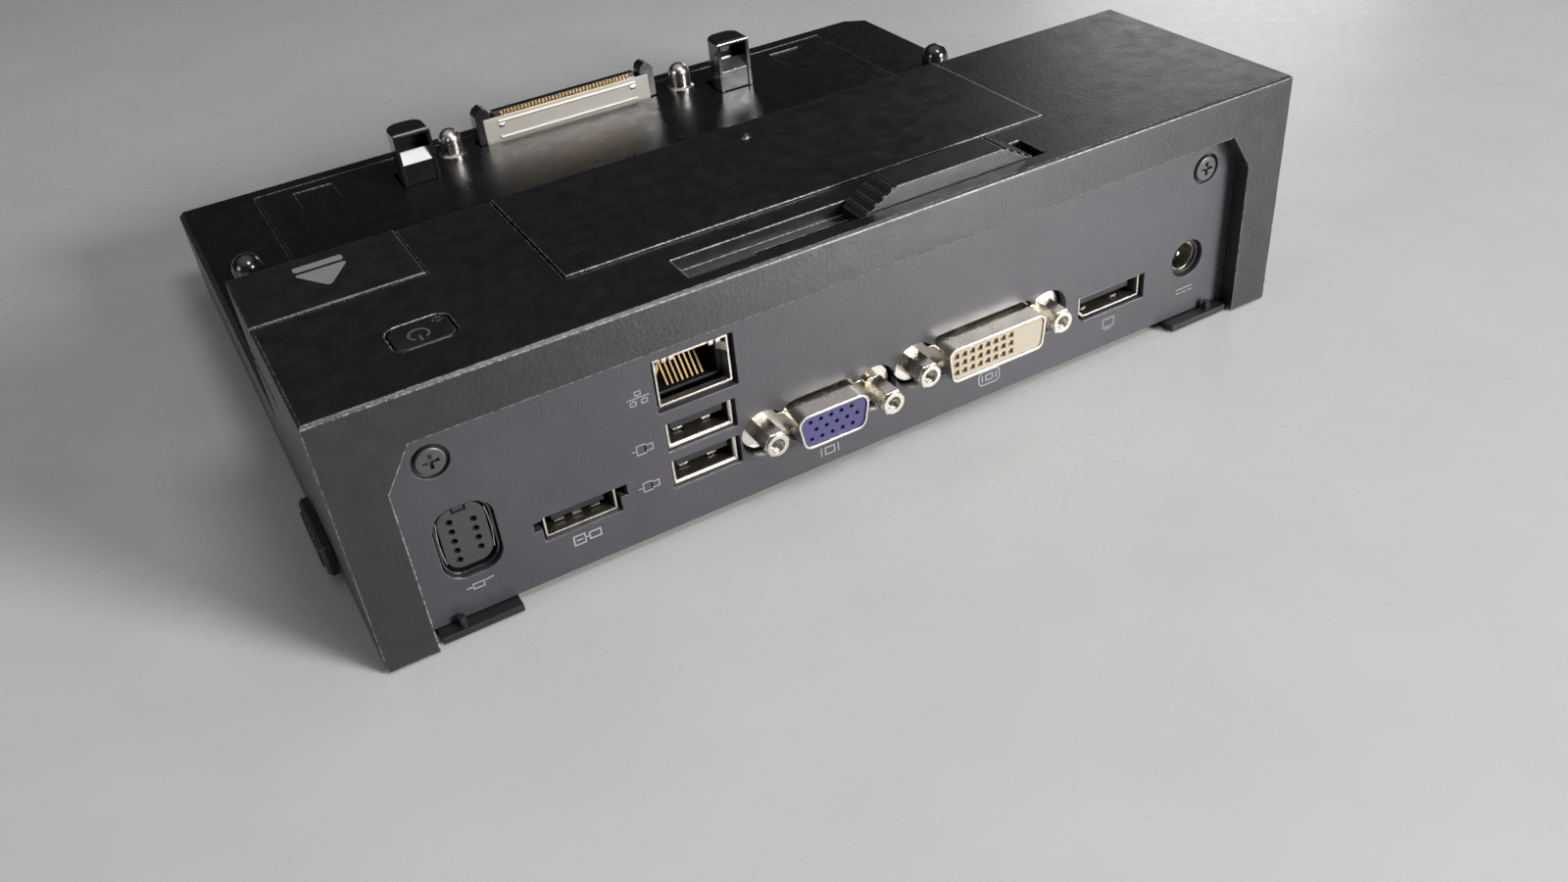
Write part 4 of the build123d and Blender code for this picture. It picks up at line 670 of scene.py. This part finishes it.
class DOCK_OT_panel_symbols(bpy.types.Operator):
    """Printed symbols on the socket panel: network, bus plugs, screens, direct current and accessory"""
    bl_idname = "dock.panel_symbols"
    bl_label = "Panel symbols"

    def execute(self, context):
        sizes = context.scene.dock_parts
        line, ink = sizes.line / MM, sizes.ink / MM
        face = high("rear_panel")[1]

        def symbol(name, lines, x, z, width=line):
            make(name, inked(lines, on_rear(x, z, face), width, ink), "ink", "housing")

        stack, upper, lower = middle("port_stack_body")[0], high("usb_shells")[2], low("usb_shells")[2]
        beside = stack + 12.0 * MM
        symbol("symbol_network", [
            box_line(0.0, 0.95, 1.1, 0.8), box_line(-1.1, -1.0, 1.1, 0.8), box_line(1.1, -1.0, 1.1, 0.8),
            (((-2.2, 0.0), (2.2, 0.0)), False), (((0.0, 0.55), (0.0, 0.0)), False),
            (((-1.1, 0.0), (-1.1, -0.6)), False), (((1.1, 0.0), (1.1, -0.6)), False)],
            stack + 11.5 * MM, high("port_stack_shield")[2] - 5.4 * MM, width=line * 0.8)
        plug = [box_line(0.9, 0.0, 1.5, 1.3), box_line(-0.7, 0.0, 1.7, 2.0),
                (((-1.55, 0.0), (-2.6, 0.0)), False)]
        symbol("symbol_bus_upper", plug, beside, upper - 3.0 * MM, width=line * 0.8)
        symbol("symbol_bus_lower", plug, beside, lower + 2.9 * MM, width=line * 0.8)
        both = middle("combo_shield")
        drive = [box_line(1.6, 0.0, 2.2, 1.5), (((0.5, 0.0), (-0.4, 0.0)), False),
                 box_line(-1.5, 0.0, 2.2, 2.0), (((-2.1, 0.0), (-0.9, 0.0)), False)]
        symbol("symbol_combined", drive, both[0], high("combo_shield")[2] - 7.7 * MM)
        video = middle("vga_shell")
        symbol("symbol_screen", screen_lines(2.1, 1.6), video[0] - 1.2 * MM, video[2] - 10.1 * MM)
        wide = middle("dvi_shell")
        badge = screen_lines(1.7, 1.2)
        symbol("symbol_wide_screen", [(rounded(5.2, 3.2, 1.0), True)] + badge, wide[0] - 1.5 * MM,
               wide[2] - 10.0 * MM)
        keyed = middle("display_shell")
        symbol("symbol_keyed_screen", [box_line(0, 0, 3.0, 2.0), (((-1.0, -1.6), (1.0, -1.6)), False),
                                       (((0.0, -1.0), (0.0, -1.6)), False)], keyed[0] + 0.5 * MM,
               high("display_shell")[2] - 8.4 * MM)
        power = middle("power_jack_sleeve")
        symbol("symbol_direct_current", [(((-2.3, 0.5), (2.3, 0.5)), False)]
               + [(((-2.3 + 1.7 * k, -0.5), (-1.1 + 1.7 * k, -0.5)), False) for k in range(3)],
               power[0], power[2] - 7.8 * MM)
        stand = middle("stand_shell")
        symbol("symbol_accessory", [(((2.6, 0.7), (0.6, 0.45)), False), box_line(-0.4, 0.0, 2.0, 1.1),
                                    (((-1.4, 0.0), (-2.7, 0.0)), False)], stand[0], stand[2] - 10.2 * MM)
        return {"FINISHED"}


class DOCK_OT_button_symbols(bpy.types.Operator):
    """Power symbol on the power button, and the eject symbol on the eject button"""
    bl_idname = "dock.button_symbols"
    bl_label = "Button symbols"

    def execute(self, context):
        ink = context.scene.dock_parts.ink / MM
        button = middle("power_button")
        place = on_top(button[0] + 0.6 * MM, button[1] + 0.3 * MM, high("power_button")[2])
        lines = [(arc((0, 0), 1.75, 122, 418, 40), False), (((0, 0.5), (0, 2.3)), False)]
        make("symbol_power", inked(lines, place, 0.42, ink), "ink_dim", "power_key")
        pad = low("eject_button")
        place = on_top(high("eject_button")[0] - 15.9 * MM, pad[1] + 4.6 * MM, high("eject_button")[2])
        bar = rounded(9.2, 2.0, 0.55)
        head = np.vstack([arc((-4.1, 2.6), 0.5, 270, 135, 7), arc((0.0, 8.2), 0.9, 130, 50, 7),
                          arc((4.1, 2.6), 0.5, 45, -90, 7)])
        make("symbol_eject", [slab_of(bar, ink, place), slab_of(head, ink, place)], "ink_pale", "eject")
        return {"FINISHED"}


class DOCK_OT_stage(bpy.types.Operator):
    """Table top, soft lamps, even sky and the camera"""
    bl_idname = "dock.stage"
    bl_label = "Stage"

    def execute(self, context):
        scene, set_up = context.scene, context.scene.dock_stage
        half = 2.5
        mesh = bpy.data.meshes.new("floor")
        corners = [(-half, -half, 0), (half, -half, 0), (half, half, 0), (-half, half, 0)]
        mesh.from_pydata(corners, [], [(0, 1, 2, 3)])
        floor = bpy.data.objects.new("floor", mesh)
        scene.collection.objects.link(floor)
        top = finish("table_top", tuple(set_up.floor), 0.3, grain=2.0, bump=0.01, mottle=0.02, spread=0.04)
        mesh.materials.append(top)
        for name, place, size, power in (("key_lamp", (-0.69, 1.2, 0.44), 0.45, set_up.key),
                                         ("back_lamp", (-1.3, -1.1, 0.42), 0.5, set_up.back),
                                         ("top_lamp", (-0.2, 0.55, 1.05), 0.4, set_up.top),
                                         ("side_lamp", (1.3, 0.25, 0.5), 0.6, set_up.side)):
            data = bpy.data.lights.new(name, "AREA")
            data.shape, data.size, data.energy = "DISK", size, power
            lamp = bpy.data.objects.new(name, data)
            scene.collection.objects.link(lamp)
            away = unit(np.array(place) - np.array((0.0, 0.0, 0.02)))
            side = unit(np.cross(UP, away))
            over = np.cross(away, side)
            matrix = np.eye(4)
            matrix[:3, 0], matrix[:3, 1], matrix[:3, 2], matrix[:3, 3] = side, over, away, place
            lamp.matrix_world = Matrix(matrix.tolist())
        world = bpy.data.worlds.new("even_sky")
        world.use_nodes = True
        nodes, links = world.node_tree.nodes, world.node_tree.links
        back = nodes["Background"]
        back.inputs["Color"].default_value = (0.94, 0.97, 1.0, 1)
        where = nodes.new("ShaderNodeTexCoord")
        split = nodes.new("ShaderNodeSeparateXYZ")
        height = nodes.new("ShaderNodeMapRange")
        height.inputs["From Min"].default_value = 0.6
        height.inputs["From Max"].default_value = 1.0
        height.inputs["To Min"].default_value = 0.04 * set_up.sky
        height.inputs["To Max"].default_value = set_up.sky
        links.new(where.outputs["Generated"], split.inputs["Vector"])
        links.new(split.outputs["Z"], height.inputs["Value"])
        links.new(height.outputs["Result"], back.inputs["Strength"])
        scene.world = world
        data = bpy.data.cameras.new("camera")
        data.lens, data.sensor_width = set_up.lens, 36.0
        data.clip_start, data.clip_end = 0.01, 20.0
        camera = bpy.data.objects.new("camera", data)
        camera.location, camera.rotation_euler = set_up.place, set_up.turn
        scene.collection.objects.link(camera)
        scene.camera = camera
        scene.view_settings.view_transform = "Standard"
        return {"FINISHED"}


PIECES = (DOCK_OT_finish_nodes, DOCK_OT_bus_springs, DOCK_OT_network_parts, DOCK_OT_combined_springs,
          DOCK_OT_digital_video_springs, DOCK_OT_jack_threads, DOCK_OT_flange_tabs, DOCK_OT_shield_latches,
          DOCK_OT_wide_contacts, DOCK_OT_stand_springs, DOCK_OT_panel_symbols, DOCK_OT_button_symbols,
          DOCK_OT_stage)


class DOCK_PT_pieces(bpy.types.Panel):
    """Lists the pieces and their settings"""
    bl_idname = "DOCK_PT_pieces"
    bl_label = "Docking station"
    bl_space_type = "VIEW_3D"
    bl_region_type = "UI"
    bl_category = "Dock"

    def draw(self, context):
        for group in (context.scene.dock_finish, context.scene.dock_parts, context.scene.dock_stage):
            for name in group.__annotations__:
                self.layout.prop(group, name)
        for piece in PIECES:
            self.layout.operator(piece.bl_idname)


SETTINGS = {"dock_finish": DockFinishSettings, "dock_parts": DockPartSettings,
            "dock_stage": DockStageSettings}


def register():
    """Register the settings, the operators and the panel."""
    for holder in (*SETTINGS.values(), *PIECES, DOCK_PT_pieces):
        bpy.utils.register_class(holder)
    for name, holder in SETTINGS.items():
        setattr(bpy.types.Scene, name, bpy.props.PointerProperty(type=holder))


def unregister():
    """Take them out again, last first."""
    for name in SETTINGS:
        delattr(bpy.types.Scene, name)
    for holder in reversed((*SETTINGS.values(), *PIECES, DOCK_PT_pieces)):
        bpy.utils.unregister_class(holder)


def main():
    """Register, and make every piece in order."""
    register()
    for piece in PIECES:
        group, name = piece.bl_idname.split(".")
        getattr(getattr(bpy.ops, group), name)()


if __name__ == "__main__":
    main()
